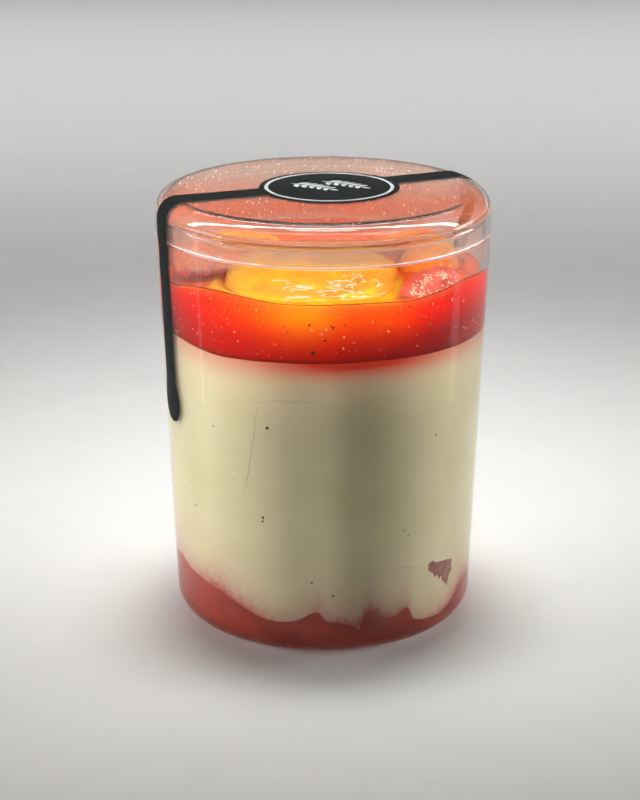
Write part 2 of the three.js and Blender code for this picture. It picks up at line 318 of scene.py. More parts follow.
# %% Profiles of the jar and the lid
ROUND_STEPS = 240  # columns round every turned shape
SOFT_EDGE = 0.25  # radius of the moulding's small edges


def arc(centre_r, centre_z, radius, start, end, steps=20):
    """Points on a circle from one angle to another, in degrees from straight outwards."""
    angle = np.radians(np.linspace(start, end, steps + 1))
    return np.stack([centre_r + radius * np.cos(angle), centre_z + radius * np.sin(angle)], 1)


def line(r0, z0, r1, z1, steps=8):
    """Points from one end to the other, crowded towards both ends as (1 - cos) / 2 is, so that
    the shading of a long straight face isn't bent by the curve next to it."""
    share = (1 - np.cos(np.linspace(0, np.pi, steps + 1)))[:, None] / 2
    return np.array([[r0, z0]]) * (1 - share) + np.array([[r1, z1]]) * share


def wall_arc(wall_radius, floor, radius, up=1):
    """Centre of the arc that touches a level face and the leaning wall: above the face for a
    foot (up = 1), and below it for a shoulder (up = -1)."""
    height = floor + up * radius
    return wall_radius + (height * math.sin(WALL_LEAN) - radius) / math.cos(WALL_LEAN), height


def turned(profile, columns=ROUND_STEPS):
    """A profile of radius and height, turned once round the axis: x = r sin a, y = -r cos a."""
    profile = profile[np.append(True, np.linalg.norm(np.diff(profile, axis=0), axis=1) > 1e-6)]
    angle = np.linspace(0, 2 * np.pi, columns, endpoint=False)
    r, z = profile[:, :1], profile[:, 1:]
    return np.stack([r * np.sin(angle), -r * np.cos(angle), z + 0 * angle], -1)


def jar_profile():
    """Base, foot, wall, shoulder, neck with a shallow snap bead, round rim, and back inside."""
    lean = math.degrees(WALL_LEAN)
    neck_inside = INNER_BASE_RADIUS + WALL_SLOPE * SHOULDER
    rim = (NECK_RADIUS - neck_inside) / 2
    foot_r, foot_z = wall_arc(JAR_BASE_RADIUS, 0, JAR_FOOT_RADIUS)
    edge_r, edge_z = wall_arc(JAR_BASE_RADIUS, SHOULDER, SOFT_EDGE, up=-1)
    inner_r, inner_z = wall_arc(INNER_BASE_RADIUS, JAR_FLOOR, JAR_INNER_FOOT_RADIUS)
    foot = arc(foot_r, foot_z, JAR_FOOT_RADIUS, -90, -lean, 24)
    edge = arc(edge_r, edge_z, SOFT_EDGE, -lean, 90, 6)
    inner_foot = arc(inner_r, inner_z, JAR_INNER_FOOT_RADIUS, -lean, -90, 24)
    bead_z, bead_half, bead_depth = RIM_TOP - 1.7, 0.5, 0.12
    share = np.linspace(-1, 1, 13)
    bead_r = NECK_RADIUS + bead_depth * np.cos(share * np.pi / 2) ** 2
    bead = np.stack([bead_r, bead_z + bead_half * share], 1)
    return np.concatenate([
        line(0, 0, *foot[0], 12),
        foot,
        line(*foot[-1], *edge[0], 36),
        edge,
        line(*edge[-1], NECK_RADIUS + SOFT_EDGE, SHOULDER, 4),
        arc(NECK_RADIUS + SOFT_EDGE, SHOULDER + SOFT_EDGE, SOFT_EDGE, -90, -180, 6),
        line(NECK_RADIUS, SHOULDER + SOFT_EDGE, *bead[0]),
        bead,
        line(*bead[-1], NECK_RADIUS, RIM_TOP - rim),
        arc(NECK_RADIUS - rim, RIM_TOP - rim, rim, 0, 180, 14),
        line(neck_inside, RIM_TOP - rim, neck_inside, SHOULDER + 1),
        line(neck_inside, SHOULDER + 1, *inner_foot[0], 36),
        inner_foot,
        line(*inner_foot[-1], 0, JAR_FLOOR, 12),
    ])


def lid_profile():
    """Ceiling, inner edge, skirt and its foot, rounded outer edge, top."""
    inside, ceiling = LID_RADIUS - LID_WALL, HEIGHT - LID_WALL
    inner, outer, soft = LID_INNER_EDGE_RADIUS, LID_EDGE_RADIUS, 0.18
    return np.concatenate([
        line(0, ceiling, inside - inner, ceiling, 14),
        arc(inside - inner, ceiling - inner, inner, 90, 0, 28),
        line(inside, ceiling - inner, inside, SKIRT_FOOT + soft, 10),
        arc(inside + soft, SKIRT_FOOT + soft, soft, 180, 270, 4),
        arc(LID_RADIUS - soft, SKIRT_FOOT + soft, soft, -90, 0, 4),
        line(LID_RADIUS, SKIRT_FOOT + soft, LID_RADIUS, HEIGHT - outer, 10),
        arc(LID_RADIUS - outer, HEIGHT - outer, outer, 0, 90, 32),
        line(LID_RADIUS - outer, HEIGHT, 0, HEIGHT, 14),
    ])


def faces_between(grid, low, high):
    """1 for each face of a turned grid whose middle lies between two heights, else 0."""
    middle = (grid[1:, 0, 2] + grid[:-1, 0, 2]) / 2
    return np.repeat((middle > low) & (middle < high), ROUND_STEPS).astype(int)


# %% Jar and lid as fine turned shapes
FOOT_RING = (1.0, 1.35)  # heights of the ring on the rounded foot that rubs on the table, in mm

jar_grid, lid_grid = turned(jar_profile()), turned(lid_profile())
outside = np.repeat(jar_grid[1:, 0, 1], ROUND_STEPS) < -NECK_RADIUS
shoulder = faces_between(jar_grid, SHOULDER - 0.2, SHOULDER + 0.1) * outside
rim = faces_between(jar_grid, RIM_TOP - 0.15, RIM_TOP)
make_piece(
    "jar_tub", [jar_grid], [jar_plastic, edge_plastic], ["jar"],
    face_slots=np.maximum(shoulder, rim + faces_between(jar_grid, *FOOT_RING)),
)
make_piece(
    "lid_push_on", [lid_grid], [lid_plastic, edge_plastic], ["lid"],
    face_slots=faces_between(lid_grid, SKIRT_FOOT - 0.1, SKIRT_FOOT + 0.19),
)

# %% [markdown]
# ## The fillings' outlines
#
# Each filling runs right across the jar, and meets the wall along a line that a few swells and
# plateaus describe. What fills clear plastic must touch it, or an air gap would shine like
# silver, so each filling reaches 0.10 to 0.16 mm into the wall. The different reaches keep two
# neighbours from lying in the same place.

# %% Wall lines
def inner_radius(z):
    """Radius of the space inside the jar at a height, with the rounded inner foot."""
    rise = np.clip(z - JAR_FLOOR, 0, JAR_INNER_FOOT_RADIUS)
    drop = JAR_INNER_FOOT_RADIUS - rise
    inset = JAR_INNER_FOOT_RADIUS - np.sqrt(JAR_INNER_FOOT_RADIUS ** 2 - drop ** 2)
    return INNER_BASE_RADIUS + WALL_SLOPE * z - inset


def around(azimuth, centre):
    """Degrees from a centre azimuth, counted the short way round."""
    return (azimuth - centre + 180) % 360 - 180


def swell(azimuth, swells):
    """Sum of bell curves: height x exp(-(distance / width) squared)."""
    return sum(high * np.exp(-((around(azimuth, at) / wide) ** 2)) for at, wide, high in swells)


def ripple(azimuth, seed, size, waves=(5, 9, 14, 23, 37)):
    """A closed line of small waves: sines of whole numbers of turns, with seeded phases."""
    phases = np.random.default_rng(seed).uniform(0, 2 * np.pi, len(waves))
    turn = np.radians(azimuth)
    return size * sum(np.sin(n * turn + p) / n ** 0.6 for n, p in zip(waves, phases))


def wall_line(azimuth, points, soften):
    """Height along a closed line through a few (azimuth, height) points: straight between them,
    then averaged with a bell curve that is soften degrees wide."""
    at, height = np.array(points, float).T
    fine = np.arange(-180, 180, 0.25)
    line_z = np.interp(fine, at, height, period=360)
    bell = np.exp(-((around(fine, 0) / soften) ** 2))
    spread = np.fft.fft(np.fft.ifftshift(bell / bell.sum()))
    line_z = np.fft.ifft(np.fft.fft(line_z) * spread).real
    return np.interp(azimuth, fine, line_z, period=360)


# Each edge is a list of (azimuth, height) points along the wall, chosen one by one.
CREAM_TOP = 69.0
JELLY_TOP = 82.3
BASE_LEVEL = 8.4
JELLY_EDGE = (
    (-70, 81.2), (-58, 81.6), (-51, 82.8), (-38, 83.4), (-27, 82.7), (-14, 82.0), (17, 82.2),
    (30, 81.6), (43, 82.5), (58, 83.6), (72, 82.9), (105, 81.4), (130, 80.9), (165, 82.2),
    (-150, 82.8), (-125, 82.6), (-95, 81.6),
)
CREAM_EDGE = (
    (-63, 69.7), (-50, 69.0), (-38, 68.4), (-18, 69.0), (12, 69.3), (45, 68.9), (90, 68.8),
    (140, 69.4), (-160, 69.0), (-110, 68.9),
)
BASE_EDGE = (
    (-85, 14.6), (-70, 15.6), (-63, 14.2), (-53, 13.3), (-43, 12.5), (-34, 10.5), (-26, 8.6),
    (-18, 7.9), (-10, 8.8), (-5, 10.6), (-2, 11.2), (1, 8.8), (8, 8.0), (12, 7.1), (14.4, 7.2),
    (15.6, 10.1), (18, 10.7), (24, 8.5), (28, 8.2), (33.6, 10.0), (35.4, 8.6), (36.2, 6.5), (41, 5.4),
    (52, 4.9), (60, 6.7), (67, 9.6), (76, 10.2), (88, 6.6), (104, 7.6), (118, 5.6), (132, 6.8),
    (141, 7.2), (145, 9.8), (155, 10.2), (160, 8.2), (172, 8.0), (-174, 10.4), (-166, 9.6),
    (-150, 8.4), (-138, 11.0), (-126, 13.4), (-112, 13.2), (-98, 12.2),
)


def base_line(azimuth):
    """Height of the cooked strawberry against the wall."""
    return wall_line(azimuth, BASE_EDGE, 0.7) + ripple(azimuth, 3, 0.19, (11, 19, 31, 47, 71))


def cream_line(azimuth):
    """Height of the cream's top against the wall."""
    return wall_line(azimuth, CREAM_EDGE, 6) + ripple(azimuth, 5, 0.08)


def jelly_line(azimuth):
    """Height of the jelly against the wall."""
    return wall_line(azimuth, JELLY_EDGE, 5) + ripple(azimuth, 8, 0.10)


front = np.array([-60.0, -30.0, 0.0, 30.0, 60.0])
for label, curve in (("base", base_line), ("cream", cream_line), ("jelly", jelly_line)):
    print(f"{label} line at azimuths {front.tolist()}: {np.round(curve(front), 1).tolist()} mm")

# %% [markdown]
# ## Fruit
#
# Each cut piece is a superellipsoid: a ball whose cosines and sines are raised to a power, which
# squares it towards a block. A taper narrows one end, as on half a strawberry, and low waves make
# it as uneven as a knife and a spoon leave it. Sizes and places are the CAD nodes' own.

# %% Fruit shapes
MANGO_CUT = dict(square=0.7, taper=0.08, lumps=0.05)
ORANGE_CUT = dict(square=0.68, taper=0.18, lumps=0.04)
STRAWBERRY_CUT = dict(square=0.8, taper=0.35, lumps=0.05)
FRUIT = {  # cut, centre, half sizes, turn and lean in degrees
    "mango_slab": (MANGO_CUT, (-3.6, -14.7, 79.2), (19.2, 17.6, 7.4), -2, 5),
    "mango_dice_back": (MANGO_CUT, (-18, 17, 80.2), (8.6, 7.6, 6.4), 40, 0),
    "orange_wedge": (ORANGE_CUT, (23.4, -2.8, 80.2), (10.2, 7.2, 7.0), 80, 2),
    "orange_dice_back": (ORANGE_CUT, (20.4, 16.6, 80.0), (7.6, 6.4, 6.4), 30, 0),
    "strawberry_half_right": (STRAWBERRY_CUT, (22.8, -20.7, 79.9), (9.2, 4.4, 5.8), 46, 6),
    "strawberry_half_left": (STRAWBERRY_CUT, (-28.4, -3.2, 78.8), (9.6, 4.6, 6.2), -80, 0),
    "strawberry_half_back": (STRAWBERRY_CUT, (1.2, 13.2, 79.9), (10.4, 6.4, 6.4), 8, 0),
    "strawberry_half_rear": (STRAWBERRY_CUT, (3.0, 26.4, 79.6), (9, 4.8, 5.4), -6, 0),
}


def signed_power(value, power):
    """Keeps the sign while the size is raised to a power."""
    return np.sign(value) * np.abs(value) ** power


def ball_angles(rows, cols):
    """Angles of a ball's grid: v from pole to pole down the rows, and u once round."""
    v = np.linspace(-np.pi / 2, np.pi / 2, rows)[:, None]
    return v, np.linspace(0, 2 * np.pi, cols, endpoint=False)[None, :]


def fruit_grid(cut, centre, half, turn, lean, seed, rows=110, cols=180):
    """Superellipsoid: x = cos(v)^s cos(u)^s, y = cos(v)^s sin(u)^s, z = sin(v)^s, then a taper
    along x, low waves and fine ridges along the normal, a forward lean about X and a turn
    about Z."""
    v, u = ball_angles(rows, cols)
    s = cut["square"]
    x = signed_power(np.cos(v), s) * signed_power(np.cos(u), s)
    y = signed_power(np.cos(v), s) * signed_power(np.sin(u), s)
    z = signed_power(np.sin(v), s) + 0 * u
    body = np.stack([x, y * (1 - cut["taper"] * (x + 1) / 2), z], -1)
    waves = np.random.default_rng(seed)
    swing = 0
    for _ in range(9):
        way = waves.normal(size=3) * 2.4
        swing = swing + np.sin(body @ way + waves.uniform(0, 2 * np.pi)) / np.linalg.norm(way)
    for _ in range(12):
        way = waves.normal(size=3) * 5.5
        fold = np.abs(np.sin(body @ way + waves.uniform(0, np.pi)))
        swing = swing - 0.5 * fold / np.linalg.norm(way) ** 0.6
    points = body * (1 + cut["lumps"] * swing)[..., None] * np.array(half)
    a, b = math.radians(lean), math.radians(turn)
    tip = np.array([[1, 0, 0], [0, math.cos(a), -math.sin(a)], [0, math.sin(a), math.cos(a)]])
    spin = np.array([[math.cos(b), -math.sin(b), 0], [math.sin(b), math.cos(b), 0], [0, 0, 1]])
    return points @ (spin @ tip).T + np.array(centre)


# %% [markdown]
# ## Wet fruit
#
# Ripe mango and orange flesh are wet, slightly see-through and fibrous, and a thin glaze of jelly
# covers them. The glaze is a hard clear coat with a wavy surface, which breaks the lamps'
# reflection up. The finest squiggles of light on a wet cut face are painted highlights: pale
# threads laid on the fruit as a mesh further down. Under the coat the light spreads a millimetre
# or two before it comes out again. Near the jelly the glaze is thicker and redder: an attribute on
# the mesh says how deep each point stands in it.

# %% Material: glazed fruit flesh
def glazed_flesh(name, pale, deep, reach, sunk, wave_mm=2.6):
    """Two colours mixed by clouds 5 mm across, tinted where the flesh stands in jelly."""
    material, tree = new_material(name)
    clouds = remap(tree, noise(tree, 5, 3.0), 0.35, 0.65)
    waves = noise(tree, wave_mm, 2.5, Distortion=1.2)
    return principled(material, {
        "Base Color": mix(tree, deep, (clouds, pale), (read(tree, "sunk"), sunk)),
        "Roughness": 0.45, "IOR": 1.36, "Specular IOR Level": 0.25,
        **scattering(0.6, reach, 2.0), "Normal": bump(tree, noise(tree, 1.4, 4.0), 0.3, 0.25),
        "Coat Weight": 0.6, "Coat Roughness": 0.12, "Coat IOR": 1.42,
        "Coat Normal": bump(tree, waves, 0.8, 2.5),
    })


flesh_of = {
    "mango": glazed_flesh(
        "ripe_mango_cut_and_glazed", "#ffc600", "#ffac00", (1.0, 0.6, 0.04), "#f88a10",
    ),
    "orange": glazed_flesh(
        "orange_flesh_cut_and_glazed", "#f8a010", "#ea7c10", (1.0, 0.4, 0.08), "#e2540e",
    ),
    "strawberry": glazed_flesh(
        "strawberry_cut_and_glazed", "#ee6248", "#b82a1a", (1.0, 0.3, 0.2), "#e03a18", wave_mm=1.2,
    ),
}

# %% Fruit pieces
GLAZE_TOP, GLAZE_DEPTH = JELLY_TOP + 0.2, 2.2  # where the jelly's tint starts on the fruit, in mm
RED_END_START, RED_END_WIDTH = 9.0, 7.0  # jelly also runs over the slab's right end, in mm
RED_END_RISE = 5.0  # height over which that jelly thins out, in mm
fruit_points = {}
for number, (name, (cut, *place)) in enumerate(FRUIT.items()):
    kind = name.split("_")[0]
    grid = fruit_grid(cut, *place, seed=40 + number)
    fruit_points[name] = grid
    sunk = np.clip((GLAZE_TOP - grid[..., 2]) / GLAZE_DEPTH, 0, 1) ** 1.5
    if name == "mango_slab":
        right_end = (grid[..., 0] - RED_END_START) / RED_END_WIDTH
        right_end = right_end - (grid[..., 2] - GLAZE_TOP) / RED_END_RISE
        sunk = np.maximum(sunk, np.clip(right_end, 0, 1))
    make_piece(f"{name}_flesh", [grid], [flesh_of[kind]], [name], {"sunk": sunk})

# %% [markdown]
# ## Set cream
#
# Panna cotta is cream set with gelatine: smooth, dense and a little see-through at its skin. Its
# colour is a warm ivory. Against the jar it shows no gloss of its own, because plastic and cream
# touch. Red juice bleeds into it next to the cooked strawberry, and under the jelly a red glow is
# painted in, for the light that comes through the jelly: two attributes on the mesh say how strong
# the stain and the painted glow are at each point.

# %% The shape that every filling shares
def polar(radius, azimuth, z):
    """Cylinder coordinates to points: x = r sin a, y = -r cos a."""
    angle = np.radians(azimuth)
    x, y = radius * np.sin(angle), -radius * np.cos(angle)
    return np.stack([x, y, z + 0 * azimuth + 0 * radius], -1)


def azimuth_of(points):
    """The azimuth of each point: the angle whose tangent is x / -y."""
    return np.degrees(np.arctan2(points[..., 0], -points[..., 1]))


def filling_grid(low, high, reach, columns, wall_rows, cap_rows):
    """A filling from its bottom's middle out to the wall, up the wall, and over its top to the
    middle. The wall's rows crowd towards both ends, so that the edges there stay crisp. low and
    high give a height for an azimuth and a share of the way out, and reach says how far the
    filling goes into the wall. Returns the points, their azimuths and heights, and True for each
    face that touches the wall."""
    azimuth = np.linspace(-180, 180, columns, endpoint=False)[None, :]
    out = np.linspace(0, 1, cap_rows)[:, None] ** 0.7
    up = (1 - np.cos(np.linspace(0, np.pi, wall_rows)))[1:-1, None] / 2
    bottom, top = low(azimuth, out), high(azimuth, out)
    side = bottom[-1:] + (top[-1:] - bottom[-1:]) * up
    z = np.concatenate([bottom, side, top[::-1]])
    share = np.concatenate([out, np.ones_like(up), out[::-1]])
    points = polar(share * (inner_radius(z) + reach), azimuth, z)
    row = np.arange(len(z) - 1)
    touches = (row >= cap_rows - 1) & (row <= cap_rows + wall_rows - 3)
    return points, np.broadcast_to(azimuth, z.shape), z, np.repeat(touches, columns)


# %% Where two fillings meet
JELLY_REACH, CREAM_REACH, BASE_REACH = 0.13, 0.10, 0.16  # how far each goes into the wall, in mm


def base_high(azimuth, out):
    """Top of the cooked strawberry: level in the middle, lumpy at the wall."""
    return BASE_LEVEL + (base_line(azimuth) - BASE_LEVEL) * out ** 4


def base_low(azimuth, out):
    """Floor of the jar, a hair below its inner face."""
    return JAR_FLOOR - 0.12 + 0 * azimuth + 0 * out


def cream_high(azimuth, out):
    """Top of the cream, nearly level."""
    return CREAM_TOP + (cream_line(azimuth) - CREAM_TOP) * out ** 2


def cream_low(azimuth, out):
    """Underside of the cream, a hair inside the cooked strawberry."""
    return base_high(azimuth, out) - 0.06


def jelly_low(azimuth, out):
    """Underside of the jelly, a hair inside the cream."""
    return cream_high(azimuth, out) - 0.04


# %% Cream mesh
cream_points, cream_azimuth, cream_z, _ = filling_grid(
    cream_low, cream_high, CREAM_REACH, columns=480, wall_rows=130, cap_rows=24,
)
above_base = np.clip(cream_z - base_line(cream_azimuth), 0, 60)
below_jelly = np.clip(cream_line(cream_azimuth) - cream_z, 0, 60)
patches = 0.8 + 0.25 * np.sin(np.radians(7 * cream_azimuth) + 0.5 * np.sin(cream_z / 2))
left_side = swell(cream_azimuth, ((-62, 30, 0.5), (8, 40, 0.7), (62, 22, 0.3), (150, 40, 0.3)))
front_light = swell(cream_azimuth, ((12, 34, 1.0), (170, 50, 0.8)))
wide_stain = 0.36 * np.exp(-above_base / 6) * (1 + left_side)
juice_low = (0.56 * np.exp(-above_base / 2.2) + wide_stain) * patches
# Painted light: a red glow under the jelly, where light that passes through the jelly falls on the cream,
# strongest in front.
near_jelly_glow = (0.35 + 0.75 * front_light) * np.exp(-((below_jelly / 3.4) ** 2))
painted_jelly_glow = near_jelly_glow + 0.07 * np.exp(-below_jelly / 7)

# %% Material: set cream
def set_cream():
    """Ivory, with faint clouds 9 mm across, stained by the low juice attribute, which a fine noise
    breaks up, and reddened under the jelly by a painted glow. Cream scatters light over one or two
    millimetres, most in red."""
    material, tree = new_material("panna_cotta_set_cream")
    speckle = noise(tree, 1.3, 4.0)
    low_share = times(tree, read(tree, "juice_low"), remap(tree, speckle, 0.3, 0.7, 0.8, 1.2))
    # The last tint is the painted red glow of light through the jelly.
    colour = mix(
        tree, "#e2dab2", (remap(tree, noise(tree, 9, 3.0), 0.3, 0.7), "#e8e1bf"),
        (low_share, "#bd6a62"), (read(tree, "painted_jelly_glow"), "#dc3f28"),
    )
    return principled(material, {
        "Base Color": colour, "Roughness": 0.6, "IOR": 1.35, "Specular IOR Level": 0.0,
        **scattering(0.4, (1.0, 0.7, 0.4), 2.0), "Normal": bump(tree, speckle, 0.15, 0.1),
    })


make_piece(
    "panna_cotta_cream", [cream_points], [set_cream()], ["panna_cotta"],
    {"juice_low": juice_low, "painted_jelly_glow": painted_jelly_glow},
)

# %% [markdown]
# ## Cooked strawberry base
#
# Strawberries cooked with sugar settle on the floor of the jar as soft brick-red lumps in thick
# syrup. Against the wall they are smooth, with a few paler seeds and shreds, and the seams
# between two lumps are darker. A Voronoi pattern, bent by noise, gives both the lumps and seams.

# %% Base mesh and material
def cooked_strawberry():
    """Soft lumps about 8 mm across, clouds 3 mm across, and seeds under a millimetre across."""
    material, tree = new_material("strawberry_compote_cooked")
    place = add(tree, "TexCoord").outputs["Object"]
    warp = {"Factor": 0.012, "A": place, "B": noise(tree, 6, 3.0, "Color")}
    bent = add(tree, "Mix", warp, data_type="VECTOR").outputs["Result"]
    lumps = {"Vector": bent, "Scale": 1 / (8 * MM), "Smoothness": 0.6}
    lumps = add(tree, "TexVoronoi", lumps, feature="SMOOTH_F1").outputs["Distance"]
    seam = remap(tree, lumps, 0.35, 0.75, 0.0, 0.6)
    seeds = add(tree, "TexVoronoi", {"Vector": place, "Scale": 1 / (5.5 * MM)}).outputs["Distance"]
    seeds = remap(tree, seeds, 0.05, 0.09, 0.9, 0.0)
    clouds = noise(tree, 3, 4.0)
    return principled(material, {
        "Base Color": mix(tree, "#96281a", (clouds, "#ba4632"), (seam, "#7c2219"), (seeds, "#de8660")),
        "Roughness": 0.5, "IOR": 1.4, "Specular IOR Level": 0.05,
        **scattering(0.3, (1.0, 0.25, 0.15), 1.5), "Normal": bump(tree, seam, 0.3, -0.3),
    })


base_points, _, _, _ = filling_grid(
    base_low, base_high, BASE_REACH, columns=480, wall_rows=50, cap_rows=24,
)
make_piece(
    "strawberry_base_compote", [base_points], [cooked_strawberry()],
    ["strawberry_base"],
)

# %% [markdown]
# ## Red fruit jelly
#
# The jelly is clear red, so its colour comes from the light that passes through it: orange where
# the mango shines through behind the wall, bright red where little jelly lies before the light,
# and nearly wine red low down and in patches round the jar. A see-through jelly inside a
# see-through jar would turn the wall's inner face into a mirror, because the renderer can't know
# that the two touch. So the jelly is a scattering solid, and that light is painted into its
# colour from attributes worked out on its mesh: a painted orange glow before the mango, and a
# painted wine-red shade. It has three finishes: dull where it touches the wall, wet and wavy on
# its free surface, with the mango's colour painted in where that stands close, and a thin dark
# rim of painted shade where it creeps up the wall.

# %% Jelly mesh
FRUIT_BELL = 1.6  # how far from a piece of fruit the jelly starts to climb, in mm
LIP_HEIGHT, LIP_WIDTH = 0.95, 1.0  # the jelly's edge creeps up the wall
FRUIT_CREEP = 1.5  # and up the fruit, in mm
JELLY_DIP = 0.9  # its middle lies lower, in mm
JELLY_RADIUS = 35  # about how far out the jelly's top reaches, in mm
JELLY_COLUMNS = 440


def fruit_rise(x, y, names=tuple(FRUIT)):
    """How far the jelly climbs up the fruit: a bell round each piece's edge, 1 at the edge."""
    total = 0
    for _, centre, half, turn, _ in (FRUIT[name] for name in names):
        b = math.radians(turn)
        u = (x - centre[0]) * math.cos(b) + (y - centre[1]) * math.sin(b)
        v = (y - centre[1]) * math.cos(b) - (x - centre[0]) * math.sin(b)
        edge = ((np.abs(u) / half[0]) ** 3 + (np.abs(v) / half[1]) ** 3) ** (1 / 3)
        total = np.maximum(total, np.exp(-((edge - 1) * min(half[:2]) / FRUIT_BELL) ** 2))
    return total


def jelly_high(azimuth, out):
    """Top of the jelly: a lip at the wall, low waves, and a rise against each piece of fruit."""
    x = out * JELLY_RADIUS * np.sin(np.radians(azimuth))
    y = -out * JELLY_RADIUS * np.cos(np.radians(azimuth))
    level = JELLY_TOP - JELLY_DIP * (1 - out ** 2) + (jelly_line(azimuth) - JELLY_TOP) * out ** 2
    lip = LIP_HEIGHT * np.exp(-((1 - out) * JELLY_RADIUS / LIP_WIDTH))
    waves = 0.14 * np.sin(x / 2.3 + 1) * np.sin(y / 2.9) + 0.09 * np.sin(x / 1.1) * np.sin(y / 1.4 + 2)
    return level - LIP_HEIGHT + lip + (FRUIT_CREEP * fruit_rise(x, y) + waves) * (1 - out ** 12)


jelly_points, jelly_azimuth, jelly_z, jelly_wall = filling_grid(
    jelly_low, jelly_high, JELLY_REACH, JELLY_COLUMNS, wall_rows=60, cap_rows=80,
)
from_top = np.clip(jelly_line(jelly_azimuth) - jelly_z, 0, 20)
depth = np.clip(from_top / (JELLY_TOP - CREAM_TOP), 0, 1)
# Painted light: the mango's colour on the jelly's free surface where it lies over the mango.
painted_mango_glow_on_top = fruit_rise(jelly_points[..., 0], jelly_points[..., 1] * 0.97, ["mango_slab"])
in_front = np.clip((-jelly_points[..., 1] - 12) / 8, 0, 1)
painted_mango_glow_on_top = np.clip(1.4 * painted_mango_glow_on_top, 0, 1) * in_front
# Painted light: an orange glow where the mango's light comes through the jelly.
glow_round = swell(jelly_azimuth, ((-7, 14, 0.75), (-30, 12, 0.15), (-135, 18, 0.7), (20, 11, 0.22)))
mango_glow = glow_round * np.exp(-(((depth - 0.16) / 0.36) ** 2))
# Painted shade: darker wine red low down and in patches round the jar.
wine_shade_round = swell(jelly_azimuth, ((44, 22, 1.0), (-80, 14, 0.5), (175, 30, 0.8), (100, 20, 0.4)))
painted_wine_shade = np.clip(0.42 + 0.5 * wine_shade_round, 0, 1) * np.clip((depth - 0.22) / 0.5, 0, 1)

# %% Materials: the jelly's free surface, its face at the wall, and its rim
def jelly_surface():
    """A wet skin with waves 3 mm across over a deeper red, with the mango's colour painted in where
    the jelly lies over it, and painted shade close to the wall."""
    material, tree = new_material("fruit_jelly_wet_surface")
    # Painted shade: the free surface darkens close to the wall.
    lip = remap(tree, read(tree, "from_top"), 0.05, 0.3, 0.7, 0.0)
    waves = noise(tree, 3, 2.5, Distortion=1.0)
    colour = mix(
        tree, "#e03408", (noise(tree, 7, 3.0), "#f87020"),
        (lip, "#6a0c05"), (read(tree, "painted_mango_glow_on_top"), "#ffae04"),
    )
    return principled(material, {
        "Base Color": colour, "Roughness": 0.12, "IOR": 1.36, "Specular IOR Level": 0.25,
        **scattering(0.8, (1.0, 0.3, 0.08), 8), "Normal": bump(tree, waves, 0.7, 0.6),
    })


def jelly_at_wall():
    """Bright red, to a painted wine-red shade low down and in patches, to a painted orange glow
    before the mango, with a paler band under the wall line. It has no gloss, because the plastic
    touches it. Red light spreads far in it and the rest hardly."""
    material, tree = new_material("fruit_jelly_against_plastic")
    pale = remap(tree, read(tree, "from_top"), 0.4, 2.4, 0.32, 0.0)
    colour = mix(
        tree, "#f40800", (noise(tree, 5, 4.0), "#fc1e00"), (read(tree, "painted_wine_shade"), "#8c0306"),
        (read(tree, "mango_glow"), "#ffaa08"), (pale, "#ff8248"),
    )
    return principled(material, {
        "Base Color": colour, "Roughness": 0.6, "IOR": 1.36, "Specular IOR Level": 0.0,
        **scattering(1.0, (1.0, 0.22, 0.05), 16),
    })


def jelly_rim():
    """Where the surface turns up at the wall one looks along it, through the most jelly, so a thin
    dark line of painted shade is drawn there, brown before the mango. It doesn't scatter, or it
    would glow like a lamp's edge."""
    material, tree = new_material("fruit_jelly_rim_painted_shade")
    grain, glow = noise(tree, 1.5, 3.0), read(tree, "mango_glow")
    return principled(material, {
        "Base Color": mix(tree, "#4a0a04", (grain, "#8c2410"), (glow, "#b4581a")),
        "Roughness": 0.7, "Specular IOR Level": 0.0,
    })


RIM_LINE = 0.26  # height of the dark line at the wall, in mm
SURFACE, AT_WALL, RIM = 0, 1, 2
face_drop = (from_top[1:] + from_top[:-1]).ravel() / 2
jelly_slots = np.where(jelly_wall, AT_WALL, SURFACE)
jelly_slots[jelly_wall & (face_drop < RIM_LINE)] = RIM
first_free = np.flatnonzero(jelly_wall)[-1] + 1
jelly_slots[first_free:first_free + JELLY_COLUMNS] = RIM
make_piece(
    "fruit_jelly_red", [jelly_points], [jelly_surface(), jelly_at_wall(), jelly_rim()],
    ["fruit_jelly"],
    {"from_top": from_top, "mango_glow": mango_glow, "painted_wine_shade": painted_wine_shade, "painted_mango_glow_on_top": painted_mango_glow_on_top},
    jelly_slots,
)

# %% [markdown]
# ## Small things against the wall
#
# Vanilla seeds, dents and hairline cracks show at the cream's skin. The jelly holds air bubbles
# and short dark shreds of fruit. Every kind is one mesh of small rounded bodies, whose places are
# an array of azimuths and heights.

# %% Helpers for small things
def on_wall(azimuth, z, reach):
    """Points a little way into the wall's inner face."""
    return polar(inner_radius(z) + reach, azimuth, z)


def balls(places, sizes, rows=6, cols=8):
    """Many small balls: x, y and z of a unit ball's grid, scaled and moved to each place."""
    v, u = ball_angles(rows, cols)
    ball = np.stack([np.cos(v) * np.cos(u), np.cos(v) * np.sin(u), np.sin(v) + 0 * u], -1)
    return [ball * size + place for place, size in zip(places, sizes)]


def unit(vectors, least=0.0):
    """Vectors of length one. least keeps a vector of length zero from being divided by zero."""
    return vectors / (np.linalg.norm(vectors, axis=1)[:, None] + least)


def hair(middle, ahead, outward, share, thick, sides):
    """Rings round a line of points: cos(angle) x sideways + sin(angle) x outward. share runs from
    0 to 1 along it, and it thins out at both ends as the square root of a sine does."""
    size = thick * np.sqrt(np.sin(np.pi * share))[:, None, None]
    angle = np.linspace(0, 2 * np.pi, sides, endpoint=False)[None, :, None]
    sideways = np.cross(ahead, outward)[:, None]
    return middle[:, None] + size * (np.cos(angle) * sideways + np.sin(angle) * outward[:, None])


